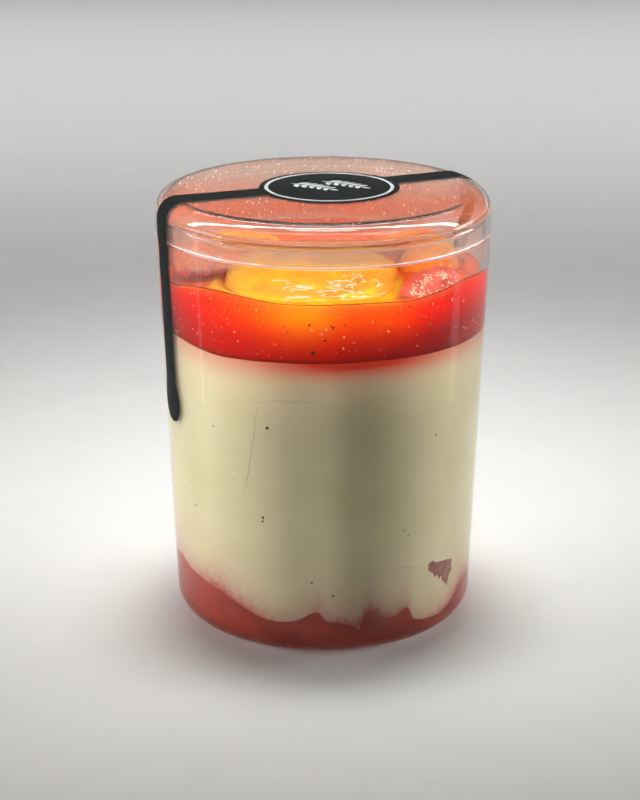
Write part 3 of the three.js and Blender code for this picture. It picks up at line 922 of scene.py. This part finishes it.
def thread(route, reach, thick, steps=40):
    """A fine round thread laid along the wall through a few (azimuth, height) points."""
    at, height = np.array(route, float).T
    share = np.linspace(0, 1, steps)
    knots = np.linspace(0, 1, len(at))
    wander = 0.12 * np.sin(23 * share) + 0.07 * np.sin(51 * share + 1)
    azimuth = np.interp(share, knots, at) + wander
    middle = on_wall(azimuth, np.interp(share, knots, height) + 0.6 * wander, reach)
    ahead, outward = unit(np.gradient(middle, axis=0)), polar(1.0, azimuth, 0.0)
    return hair(middle, ahead, outward, np.clip(share, 0.002, 0.998), thick, 6)


# %% Specks, dents and cracks in the cream
# A speck or a dent is (azimuth, height, radius), and a crack is a route of (azimuth, height).
SPECKS = (
    (-43, 51.8, 0.2), (-20.1, 53.9, 0.34), (-22.5, 32.8, 0.3), (-22.7, 31.9, 0.26), (44.3, 49.5, 0.22),
    (-55.5, 30.9, 0.22), (-4.3, 18.2, 0.24), (3.6, 15.0, 0.28), (-34, 40.5, 0.12), (22, 44, 0.12),
)
DENTS = ((31.0, 28.7, 0.45), (33.3, 27.4, 0.5), (35.8, 27.6, 0.35), (41.5, 22.5, 0.35), (18.5, 21.6, 0.3))
CRACKS = (
    ((-23.6, 60.0), (-24.7, 54.2), (-26.6, 47.1), (-29.0, 39.8), (-31.1, 34.9)),
    ((-26.4, 59.1), (-16.9, 60.3), (-8.1, 60.5), (-1.2, 60.1)),
    ((21.5, 20.8), (25.6, 20.1), (29.9, 19.9), (34.4, 19.5), (39.2, 18.3)),
    ((-52, 17.6), (-45, 16.2), (-38, 14.6), (-31, 12.6)),
    ((150, 52), (156, 44), (158, 33)),
)
BACK_SPECKS = 26
DENT_SINK = 0.22  # how far a dent's middle lies inside the wall's inner face, in mm
back = np.stack([
    rng.uniform(75, 300, BACK_SPECKS),
    rng.uniform(18, 64, BACK_SPECKS),
    rng.uniform(0.14, 0.32, BACK_SPECKS),
], 1)
azimuth, height, size = np.concatenate([np.array(SPECKS), back]).T
make_piece(
    "vanilla_seed_specks", balls(on_wall(azimuth, height, CREAM_REACH), size),
    [plain_material("vanilla_seed_dried", "#3a2a20", "#1a1410", 0.5, 0.2)],
)
azimuth, height, size = np.array(DENTS).T
# Painted shade: dents and cracks are drawn a little darker than the cream, for the shade in them.
cream_marks = balls(on_wall(azimuth, height, -DENT_SINK), size)
cream_marks += [thread(route, 0.07, 0.08) for route in CRACKS]
make_piece(
    "cream_crack_marks", cream_marks,
    [plain_material("panna_cotta_crack_painted_shade", "#d2caa6", "#a99f7a", 0.7, 0.5)],
)

# %% Bubbles and shreds in the jelly
BUBBLES, SHREDS = 300, 110
BIG_BUBBLES = (  # azimuth, height and radius
    (-3.5, 71.5, 0.50), (-4.8, 77.7, 0.34), (0.5, 74.4, 0.36), (13.7, 76.5, 0.26), (-12.3, 75.9, 0.26),
    (38.9, 75.6, 0.36), (-34.8, 78.5, 0.28), (52, 79, 0.3), (-48, 76, 0.25),
)


def in_jelly(count, low=0.05, high=0.93):
    """Random azimuths, and heights between the cream and the jelly's top line."""
    azimuth = rng.uniform(-180, 180, count)
    foot = cream_line(azimuth)
    return azimuth, foot + rng.uniform(low, high, count) * (jelly_line(azimuth) - foot)


# Painted highlight: the small bubbles are pale balls that stand for the light they catch.
bubble_places = on_wall(*in_jelly(BUBBLES), JELLY_REACH)
make_piece(
    "jelly_air_bubbles", balls(bubble_places, 0.12 + 0.22 * rng.random(BUBBLES) ** 3),
    [plain_material("air_bubble_painted_glint", "#ffc8a4", "#fa7a40", 0.1, 0.3)],
)
shred_start = np.stack(in_jelly(SHREDS), 1)
shred_end = shred_start + rng.uniform(-1, 1, (SHREDS, 2)) * (1.5, 0.9)
shreds = [thread(ends, 0.18, 0.13, steps=8) for ends in np.stack([shred_start, shred_end], 1)]
# Painted shade: the big bubbles are dark balls in the shreds' material, and the glints below are painted
# highlights on them.
azimuth, height, size = np.array(BIG_BUBBLES).T
shreds += balls(on_wall(azimuth, height, 0.02), size, 8, 12)
make_piece(
    "jelly_dark_shreds_and_bubble_shade", shreds,
    [plain_material("strawberry_shred_and_bubble_painted_shade", "#6a0804", "#300202", 0.4, 0.6)],
)
make_piece(
    "jelly_bubble_glints",
    balls(on_wall(azimuth - 0.15, height + 0.12, 0.16), size * 0.55, 8, 12),
    [plain_material("air_bubble_glint", "#ff8a3c", "#f0601c", 0.2, 0.4)],
)

# %% [markdown]
# ## Painted highlight squiggles on the fruit
#
# The wet fruit's finest squiggles of light are painted highlights: fine pale threads in the
# colour of the lamps' reflection, so the fruit looks wet. Each squiggle is a hair laid on the
# fruit's surface: its route wanders over the grid of rows and columns that the fruit is made from.

# %% Painted highlight squiggles
HIGHLIGHT_SQUIGGLES = {  # for each piece of fruit: how many, their length in rows, and the zone in degrees
    "mango_slab": (60, 9, (-102, -32), (16, 62)),
    "strawberry_half_right": (110, 6, (-175, -60), (8, 75)),
    "orange_wedge": (16, 8, (-170, 170), (25, 80)),
}
OTHER_HIGHLIGHT_SQUIGGLES = (12, 7, (-180, 180), (20, 80))
SQUIGGLE_RADIUS = 0.12


def on_grid(grid, row, column):
    """Points of a grid that wraps round, between its rows and columns: the four nearest points,
    weighted by how close they are."""
    row = np.clip(row, 0, grid.shape[0] - 1.001)
    r, c = np.floor(row).astype(int), np.floor(column).astype(int)
    a, b = (row - r)[:, None], (column - c)[:, None]
    c, nxt = c % grid.shape[1], (c + 1) % grid.shape[1]
    low = grid[r, c] * (1 - b) + grid[r, nxt] * b
    return low * (1 - a) + (grid[r + 1, c] * (1 - b) + grid[r + 1, nxt] * b) * a


def highlight_squiggle(grid, length, round_zone, up_zone, steps=22):
    """A hair whose heading turns at random along its way over the fruit."""
    rows, columns = grid.shape[:2]
    first_row = (rng.uniform(*up_zone) + 90) / 180 * rows
    first_column = (rng.uniform(*round_zone) % 360) / 360 * columns
    heading = rng.uniform(0, 2 * np.pi) + np.cumsum(rng.normal(0, 0.8, steps))
    stride = length * rng.uniform(0.4, 1.3) / steps
    row = first_row + np.cumsum(0.8 * stride * np.sin(heading))
    column = first_column + np.cumsum(1.3 * stride * np.cos(heading))
    middle = on_grid(grid, row, column)
    ahead = unit(np.gradient(middle, axis=0), 1e-9)
    outward = middle - grid.mean((0, 1))
    outward -= (outward * ahead).sum(1)[:, None] * ahead
    share = np.linspace(0.004, 0.996, steps)
    return hair(middle, ahead, unit(outward), share, SQUIGGLE_RADIUS, 5)


highlight_squiggles = [
    highlight_squiggle(fruit_points[name], length, round_zone, up_zone)
    for name in FRUIT
    for count, length, round_zone, up_zone in [HIGHLIGHT_SQUIGGLES.get(name, OTHER_HIGHLIGHT_SQUIGGLES)]
    for _ in range(count)
]
make_piece(
    "fruit_painted_highlight_squiggles", highlight_squiggles,
    [plain_material("painted_highlight_pale_glaze", "#fff6dc", "#ffdca0", 0.25, 0.8)],
)

# %% [markdown]
# ## Scrap of strawberry at the wall
#
# One shred of strawberry was pushed against the wall by the cream: a ragged wedge, wide at the
# top and pointed below. Its outline is a short list of points, and rings of the same outline
# shrink towards its middle on the outer face and on the inner one.

# %% Strawberry scrap
SCRAP_MIDDLE = (51.0, 15.6)  # azimuth and height
SCRAP_OUTLINE = (  # degrees and millimetres from its middle
    (-8.4, 1.6), (-8.8, 3.7), (-6.0, 4.2), (-3.6, 3.2), (0.5, 2.9), (5.6, 2.4), (8.8, 1.9), (8.4, 0.2),
    (9.2, -1.2), (7.0, -2.4), (6.2, -4.2), (5.0, -5.3), (3.6, -4.0), (1.4, -2.9), (0.6, -1.4),
    (-1.2, -2.2), (-2.2, -0.6), (-4.2, -1.0), (-5.6, 0.6),
)
SCRAP_THICK = 1.4
SCRAP_REACH = 0.24  # how far it is pressed into the wall's inner face, in mm


def scrap_grid(rows=24, smooth=6):
    """Rings of the outline: from the outer face's middle out to the edge and back to the inner
    face's middle. The outer face lies on the wall until close to the edge."""
    outline = np.array(SCRAP_OUTLINE, float)
    knots = np.arange(len(outline) + 1)
    fine = np.linspace(0, len(outline), smooth * len(outline), endpoint=False)
    closed = np.concatenate([outline, outline[:1]])
    edge = np.stack([np.interp(fine, knots, closed[:, i]) for i in (0, 1)], 1)
    turn = np.linspace(0, np.pi, rows)[:, None]
    out = np.sin(turn) ** 0.6
    inward = SCRAP_THICK * (1 - signed_power(np.cos(turn), 0.5)) / 2
    azimuth = SCRAP_MIDDLE[0] + out * edge[:, 0]
    z = SCRAP_MIDDLE[1] + out * edge[:, 1]
    return polar(inner_radius(z) + SCRAP_REACH - inward, azimuth, z)


scrap_flesh = plain_material(
    "strawberry_shred_in_cream", "#d68a74", "#2c0604", 0.5, 0.9,
    **{"Specular IOR Level": 0.05, **scattering(0.3, (1.0, 0.3, 0.2), 1.0)},
)
make_piece(
    "strawberry_scrap_shred", [scrap_grid()], [scrap_flesh], ["strawberry_scrap"],
)

# %% [markdown]
# ## Paper seal
#
# The seal is dark printed paper: a disc in the middle of the lid, and two arms that run over the
# lid's edge, down the skirt and on down the jar, and end in a rounded paddle. Each arm is a strip
# laid along the profile that it sticks to, so it bends exactly where the lid does. Its cut edge
# shows the pale core of the paper, so the strip's side faces take a second material.

# %% Seal shapes
PAPER_LIFT, PAPER_THICK, PAPER_BUCKLE = 0.03, 0.13, 0.015
STRIP_HALF, PADDLE_HALF, PADDLE_NECK = 3.5, 4.9, 6.0
TAIL_END = 48.4
TAIL_AZIMUTHS = (-69.5, 114.5)
DISC_RADIUS = 15.6
DISC_CENTRE = (1.3, 0.15)
ACROSS = 17  # points across a strip


def seal_route():
    """Profile under an arm: lid top, rounded edge, skirt, a bridge to the wall, and the wall.
    Returns its points, its headings and the distance run along it."""
    edge, foot, shoulder = LID_EDGE_RADIUS, SKIRT_FOOT + 0.5, SHOULDER - 0.7
    wall = JAR_BASE_RADIUS + WALL_SLOPE * np.array([shoulder, TAIL_END])
    route = np.concatenate([
        line(DISC_RADIUS - 3, HEIGHT, LID_RADIUS - edge, HEIGHT, 24),
        arc(LID_RADIUS - edge, HEIGHT - edge, edge, 90, 0, 28)[1:],
        line(LID_RADIUS, HEIGHT - edge, LID_RADIUS, foot, 8)[1:],
        line(LID_RADIUS, foot, wall[0], shoulder, 4)[1:],
        np.linspace((wall[0], shoulder), (wall[1], TAIL_END), 90)[1:],
    ])
    run = np.append(0, np.cumsum(np.linalg.norm(np.diff(route, axis=0), axis=1)))
    return route, unit(np.gradient(route, axis=0)), run


def seal_half_width(from_end):
    """Half the strip's width: a round end, a paddle, then a smooth neck to the plain strip."""
    inside = np.clip(from_end / PADDLE_HALF, 0, 1)
    round_end = PADDLE_HALF * np.sqrt(np.clip(1 - (1 - inside) ** 2, 1e-4, 1))
    blend = np.clip((from_end - PADDLE_HALF) / PADDLE_NECK, 0, 1)
    blend = blend * blend * (3 - 2 * blend)
    neck = PADDLE_HALF + (STRIP_HALF - PADDLE_HALF) * blend
    return np.where(from_end < PADDLE_HALF, round_end, neck)


def seal_arm(azimuth):
    """A strip with an outer face, an inner face and two cut edges. A point stands at the route's
    radius plus its lift along the normal, and aside by its share of the half width, a chord."""
    route, heading, run = seal_route()
    half = seal_half_width(run[-1] - run)
    across = np.linspace(-1, 1, ACROSS)
    aside = np.concatenate([across, across[::-1]])
    buckle = PAPER_BUCKLE * np.sin(run / 2.7)[:, None]
    lift = np.repeat([PAPER_LIFT + PAPER_THICK, PAPER_LIFT], ACROSS) + buckle
    radius = route[:, :1] - heading[:, 1:] * lift
    z = route[:, 1:] + heading[:, :1] * lift
    angle = np.degrees(np.arcsin(aside * half[:, None] / radius))
    return polar(radius, azimuth + angle, z)


def on_disc(outline, columns):
    """A flat shape on the seal: an outline of (radius, height), turned about the disc's centre."""
    return turned(np.array(outline), columns) + [*DISC_CENTRE, 0]


def disc_grid(radius, low, high):
    """A flat round plate with slightly rounded edges."""
    soft = (high - low) / 3
    return on_disc((
        (0, low), (radius * 0.5, low), (radius - soft, low), (radius, low + soft),
        (radius, high - soft), (radius - soft, high), (radius * 0.5, high), (0, high),
    ), 160)


# %% Material: printed seal paper
def seal_paper():
    """Nearly black printed paper with a satin varnish; fibres 0.5 mm long show as faint grain."""
    material, tree = new_material("seal_paper_printed_dark")
    wear = noise(tree, 6, 5.0)
    return principled(material, {
        "Base Color": mix(tree, "#090d0e", (wear, "#171c1d")),
        "Roughness": remap(tree, wear, 0.0, 1.0, 0.5, 0.68), "IOR": 1.45,
        "Specular IOR Level": 0.18, "Normal": bump(tree, noise(tree, 0.5, 3.0), 0.2, 0.03),
    })


SEAL_TOP = HEIGHT + PAPER_LIFT + PAPER_THICK + 0.02
disc = disc_grid(DISC_RADIUS, HEIGHT + PAPER_LIFT, SEAL_TOP)
arms = [seal_arm(azimuth) for azimuth in TAIL_AZIMUTHS]
cut_edge = np.isin(np.arange(2 * ACROSS), (ACROSS - 1, 2 * ACROSS - 1))
paper_core = [np.tile(cut_edge, len(arm) - 1) for arm in arms]
no_core = np.zeros((disc.shape[0] - 1) * disc.shape[1], int)
make_piece(
    "seal_strip_paper", [disc, *arms],
    [seal_paper(), plain_material("seal_paper_cut_edge", "#8f9494", "#6c7070", 0.8, 0.3)],
    ["seal_strip"], face_slots=np.concatenate([no_core, *paper_core]),
)

# %% [markdown]
# ## White print on the seal
#
# A plain white ring runs round the disc, and two small leaf sprigs lie inside it. They are a
# film of ink: flat shapes that stand 0.015 mm proud of the paper, so that their edges stay sharp
# however close one looks.

# %% White print
RING_OUTER, RING_WIDTH = 14.4, 0.8
INK_LOW, INK_HIGH = SEAL_TOP - 0.01, SEAL_TOP + 0.015
SPRIG_PLACES = ((-3.6, -0.2), (3.5, 1.9))
SPRIG_HEADING, SPRIG_LENGTH, STEM_HALF = -36.0, 12.5, 0.16
LEAF_LENGTH, LEAF_HALF, LEAF_TURN = 3.3, 0.72, 52.0
LEAF_PAIRS = 5
STEM_BOW = 0.7


def ring_grid():
    """A flat ring: its section is a small rectangle, carried round a circle."""
    inner = RING_OUTER - RING_WIDTH
    return on_disc((
        (inner, INK_HIGH), (RING_OUTER, INK_HIGH), (RING_OUTER, INK_LOW), (inner, INK_LOW),
        (inner, INK_HIGH),
    ), 200)


def heading_vector(degrees):
    """Unit vector on the lid, counted from the right (+X) towards the back (+Y)."""
    return np.array([math.cos(math.radians(degrees)), math.sin(math.radians(degrees))])


def ink_ribbon(spine, width):
    """A flat ribbon of ink along a spine of (x, y) points, with a width at each of them."""
    ahead = unit(np.gradient(spine, axis=0))
    aside = np.stack([-ahead[:, 1], ahead[:, 0]], 1) * np.reshape(width, (-1, 1))
    sides = ((aside, INK_LOW), (aside, INK_HIGH), (-aside, INK_HIGH), (-aside, INK_LOW))
    return np.stack([np.column_stack([spine + side, np.full(len(spine), z)]) for side, z in sides], 1)


def leaf(start, heading, size):
    """A leaf whose half width is the sine of the way along, so that it is pointed at both ends."""
    share = np.linspace(0, 1, 22)
    spine = start + np.outer(share * LEAF_LENGTH * size, heading_vector(heading))
    return ink_ribbon(spine, LEAF_HALF * size * np.sin(np.pi * share) + 0.02)


def sprig(centre):
    """A gently curved stem with pairs of leaves and one leaf at its tip."""
    along, across = heading_vector(SPRIG_HEADING), heading_vector(SPRIG_HEADING + 90)
    foot = np.array(DISC_CENTRE) + centre - along * SPRIG_LENGTH / 2

    def stem(share):
        """Points of the stem at shares of its length: straight, plus a sine's bow aside."""
        share = np.atleast_1d(share)
        bow = np.outer(STEM_BOW * np.sin(np.pi * share), across)
        return foot + np.outer(share * SPRIG_LENGTH, along) + bow

    pieces = [ink_ribbon(stem(np.linspace(0, 0.9, 40)), STEM_HALF)]
    for share in np.linspace(0.12, 0.74, LEAF_PAIRS):
        for side in (-1, 1):
            pieces.append(leaf(stem(share)[0], SPRIG_HEADING + side * LEAF_TURN, 1.05 - 0.4 * share))
    pieces.append(leaf(stem(0.84)[0], SPRIG_HEADING, 0.75))
    return pieces


ink = plain_material("white_ink_screen_printed", "#f2f6f6", "#ccd4d6", 0.5, 0.9)
make_piece("seal_ring_print", [ring_grid()], [ink])
leaves = [piece for place in SPRIG_PLACES for piece in sprig(place)]
make_piece("seal_sprig_print", leaves, [ink])

# %% [markdown]
# ## Dust on the lid
#
# A clear lid that has been handled shows pale dust: flakes a tenth to a third of a millimetre
# across, scattered over the top and down the rounded edge. Each is a tiny ball with a few faces,
# half sunk in the plastic.

# %% Dust
DUST = 760
dust_r = LID_RADIUS * np.sqrt(rng.uniform(0.02, 0.97, DUST))
dust_az = rng.uniform(-180, 180, DUST)
past_flat = np.clip(dust_r - (LID_RADIUS - LID_EDGE_RADIUS), 0, LID_EDGE_RADIUS)
dust_z = HEIGHT - LID_EDGE_RADIUS + np.sqrt(LID_EDGE_RADIUS ** 2 - past_flat ** 2)
make_piece(
    "lid_dust_flakes",
    balls(polar(dust_r, dust_az, dust_z), 0.05 + 0.12 * rng.random(DUST) ** 4, 4, 6),
    [plain_material("household_dust_pale", "#fff4ee", "#e8d8d0", 0.9, 0.3)],
)

# %% [markdown]
# ## Mist inside the lid and the jar
#
# A chilled dessert mists the inside of its lid, and of the jar above the jelly, with droplets too
# small to see one by one. The mist is painted a pale salmon, for the fruit's light that the
# droplets scatter. Near the front of the lid, and on the back and the left of the wall, a deeper
# orange glow of the red and orange fruit's light is painted in: an attribute says how warm it is
# at each point, and another how thick the mist lies. In front the wall stays clear up to the
# shoulder, so that the mango shows. It is a film, mostly see-through, whose opacity noise makes
# uneven.

# %% Mist film
MIST_GAP, MIST_THICK = 0.03, 0.02
MIST_COLUMNS = 480
WALL_MIST = (83.6, RIM_TOP - 1)  # heights between which the jar's own wall is misted, in mm


def mist_shell(profile):
    """A thin closed shell that runs a hair inside a profile and back."""
    profile = np.concatenate([profile, profile[::-1] - [MIST_THICK, MIST_THICK]])
    profile[:, 0] = np.maximum(profile[:, 0], 0)
    return turned(profile, MIST_COLUMNS)


def lid_mist_grid():
    """Level under the ceiling, round the inner edge and down the skirt."""
    inner, inside = LID_INNER_EDGE_RADIUS - MIST_GAP, LID_RADIUS - LID_WALL - MIST_GAP
    centre_r, centre_z = inside - inner, HEIGHT - LID_WALL - LID_INNER_EDGE_RADIUS
    return mist_shell(np.concatenate([
        line(0, centre_z + inner, centre_r, centre_z + inner, 12),
        arc(centre_r, centre_z, inner, 90, 0, 16)[1:],
        line(inside, centre_z, inside, RIM_TOP + 0.3, 4)[1:],
    ]))


def towards_front(grid):
    """0 behind the middle of the lid, 1 near its front edge, and 0 again down its skirt."""
    level = np.clip((grid[..., 2] - HEIGHT + LID_EDGE_RADIUS + 1) / 4, 0, 1)
    return np.clip((-grid[..., 1] + 14) / 30, 0, 1) * level


def mist_cover(grid):
    """How thick the mist lies: 0.85 in the middle of the lid, and up to 0.9 where it is thickest
    round the edge, with clearer places between."""
    sides = swell(azimuth_of(grid), ((-62, 28, 1.0), (0, 40, 0.9), (78, 26, 0.8), (180, 60, 0.5)))
    out = np.linalg.norm(grid[..., :2], axis=-1) / LID_RADIUS
    middle = 0.85 * np.clip((0.94 - out) / 0.1, 0, 1)
    return np.maximum(middle, 0.9 * np.clip(sides, 0, 1))


def fine_mist():
    """A haze between a fifth and a half opaque where the cover is 1, in patches 12 mm across with
    a fine droplet grain: the product of two noises."""
    material, tree = new_material("condensation_mist_painted_fruit_glow")
    drops = times(tree, noise(tree, 12, 3.0), noise(tree, 0.5, 2.0))
    opacity = times(tree, remap(tree, drops, 0.12, 0.4, 0.22, 0.5), read(tree, "cover"))
    return principled(material, {
        # Painted light: both colours stand for the fruit's light scattered by the droplets.
        "Base Color": mix(tree, "#dab19b", (read(tree, "warm"), "#e66420")),
        "Roughness": 0.8, "Alpha": opacity, "Specular IOR Level": 0.0,
    })


mist_z = np.linspace(*WALL_MIST, 22)
mist_r = inner_radius(np.minimum(mist_z, SHOULDER)) - MIST_GAP
wall_mist = mist_shell(np.stack([mist_r, mist_z], 1))
wall_mist = np.concatenate([wall_mist, wall_mist[:1]])
mist_azimuth = azimuth_of(wall_mist)
at_back = swell(mist_azimuth, ((180, 75, 1.0),))
at_left = swell(mist_azimuth, ((-68, 30, 0.8),))
clear_front = np.clip(swell(mist_azimuth, ((8, 44, 1.6),)), 0, 1)
mist_foot = WALL_MIST[0] + (SHOULDER - WALL_MIST[0]) * clear_front
from_ends = np.minimum((wall_mist[..., 2] - mist_foot) / 1.2, WALL_MIST[1] - wall_mist[..., 2])
wall_cover = mist_cover(wall_mist) * (1 + at_back + at_left) * np.clip(from_ends, 0, 1)
wall_warm = 0.9 * at_back + 0.6 * at_left
lid_mist = lid_mist_grid()
make_piece("lid_mist_film", [lid_mist, wall_mist], [fine_mist()], attributes={
    "cover": np.concatenate([mist_cover(lid_mist).ravel(), wall_cover.ravel()]),
    "warm": np.concatenate([towards_front(lid_mist).ravel(), wall_warm.ravel()]),
})

# %% [markdown]
# ## Camera, floor and light
#
# The camera stands about 43 cm before the jar and looks down at it a little, with a long lens, as
# one holds a phone or camera to a small thing on a table. The floor is plain pale paper.
#
# Two long soft boxes stand beside the jar, a little behind it, so that the cream is bright at both
# sides and darker towards the camera. A third hangs above, and a small spot picks out the fruit.
# These four stay out of reflections. What shines in the plastic are thin lamps: a strip at the
# back and a tube on each side. Three more strips show in reflections alone, and draw the white
# line along the lid's edge. The last lamp lights the floor behind. The room glows faintly, and
# more at the horizon, which keeps the lid's outline from going black.

# %% Camera
IMAGE_HEIGHT = 800
FOCAL_PIXELS = 1967  # focal length in pixels of the picture's height
AXIS_PIXEL_X = 323.47  # where the jar's axis stands in the picture
MIDDLE_PIXEL_X = 320
CAMERA_DISTANCE, CAMERA_HEIGHT, CAMERA_PITCH = 428.3, 195.1, 0.3288  # mm, mm, radians
SENSOR_HEIGHT = 24.0

lens = bpy.data.cameras.new("camera")
lens.sensor_fit = "VERTICAL"
lens.sensor_height = SENSOR_HEIGHT
lens.lens = FOCAL_PIXELS * SENSOR_HEIGHT / IMAGE_HEIGHT
lens.clip_start, lens.clip_end = 0.01, 20
camera = bpy.data.objects.new("camera", lens)
bpy.context.scene.collection.objects.link(camera)
aside = (MIDDLE_PIXEL_X - AXIS_PIXEL_X) * CAMERA_DISTANCE / FOCAL_PIXELS
camera.location = (aside * MM, -CAMERA_DISTANCE * MM, CAMERA_HEIGHT * MM)
camera.rotation_euler = (math.pi / 2 - CAMERA_PITCH, 0, 0)
bpy.context.scene.camera = camera
print(f"lens {lens.lens:.0f} mm on a {SENSOR_HEIGHT:.0f} mm high sensor")

# %% Floor
FLOOR_HALF = 5.0  # metres
FLOOR_POINTS = 9  # along each side
floor_mesh = bpy.data.meshes.new("floor_sheet")
steps = np.linspace(-FLOOR_HALF, FLOOR_HALF, FLOOR_POINTS)
floor_x, floor_y = np.meshgrid(steps, steps)
floor_points = np.stack([floor_x, floor_y, 0 * floor_x], -1).reshape(-1, 3)
floor_faces = grid_faces(FLOOR_POINTS, FLOOR_POINTS, wrap=False)
floor_mesh.from_pydata(floor_points.tolist(), [], floor_faces.tolist())
floor = bpy.data.objects.new("floor_sheet", floor_mesh)
bpy.context.scene.collection.objects.link(floor)
floor_mesh.materials.append(plain_material("studio_paper_pale", "#f2f2f0", "#ededeb", 0.85, 20))

# %% Lights
CREAM_MIDDLE = (0, 0, 0.06)
LID_FRONT = (0, -0.03, 0.095)


def lamp(name, azimuth, distance, height, size, power, spread=180, aim=CREAM_MIDDLE):
    """A rectangular lamp at an azimuth, a distance and a height, that looks at a point. Lengths
    are in metres, power in watts, and spread is the beam's full angle in degrees."""
    light = bpy.data.lights.new(name, "AREA")
    light.shape = "RECTANGLE"
    light.size, light.size_y = size
    light.energy = power
    light.spread = math.radians(spread)
    box = bpy.data.objects.new(name, light)
    turn = math.radians(azimuth)
    box.location = (distance * math.sin(turn), -distance * math.cos(turn), height)
    box.rotation_euler = (Vector(aim) - box.location).to_track_quat("-Z", "Y").to_euler()
    bpy.context.scene.collection.objects.link(box)
    return box


for no_shine in (
    lamp("soft_box_left", -87, 0.66, 0.11, (0.40, 0.12), 0.29, 54),
    lamp("soft_box_right", 107, 0.66, 0.11, (0.26, 0.12), 0.20, 54),
    lamp("soft_box_top", 180, 0.06, 0.60, (0.20, 0.10), 0.188, 44, (0, 0.059, 0)),
    lamp("spot_on_fruit", 10, 0.50, 0.50, (0.05, 0.012), 0.0042, 3.8, (0.004, -0.034, 0.0895)),
):
    no_shine.visible_glossy = False
lamp("strip_light_back", 180, 0.60, 0.55, (0.60, 0.008), 0.046, 70)
lamp("gloss_tube_left", -86.5, 0.16, 0.04, (0.006, 0.07), 0.0009)
lamp("gloss_tube_right", 95, 0.16, 0.04, (0.022, 0.07), 0.0018)
for only_shine in (
    lamp("gloss_strip_middle", 180, 0.05, 0.50, (0.50, 0.045), 1.5, aim=LID_FRONT),
    lamp("gloss_strip_left", -97, 0.36, 0.38, (0.05, 0.44), 1.5, aim=LID_FRONT),
    lamp("gloss_strip_right", 97, 0.36, 0.38, (0.05, 0.44), 1.5, aim=LID_FRONT),
):
    only_shine.visible_diffuse = False
    only_shine.visible_transmission = False
lamp("backdrop_light", 180, 0.75, 0.80, (1.6, 0.9), 3.0, 60, (0, 0.75, 0))

# %% Surroundings
BACK_GLOW, FRONT_GLOW = 0.14, 0.04  # brightness of the room behind the jar and before it
HORIZON_GAIN = 4.0  # how much brighter the room is near the horizon

world = bpy.data.worlds.new("studio")
bpy.context.scene.world = world
world.use_nodes = True
room = world.node_tree
room.nodes.clear()
direction = add(room, "TexCoord").outputs["Generated"]
parts = add(room, "SeparateXYZ", {"Vector": direction}).outputs
glow = remap(room, parts["Y"], -0.6, 0.9, FRONT_GLOW, BACK_GLOW)
strength = times(room, glow, remap(room, parts["Z"], 0.06, 0.17, HORIZON_GAIN, 1.0))
sky = add(room, "Background", {"Color": linear("#f6f0ec"), "Strength": strength})
add(room, "OutputWorld", {"Surface": sky.outputs[0]})
bpy.context.scene.view_settings.view_transform = "Standard"
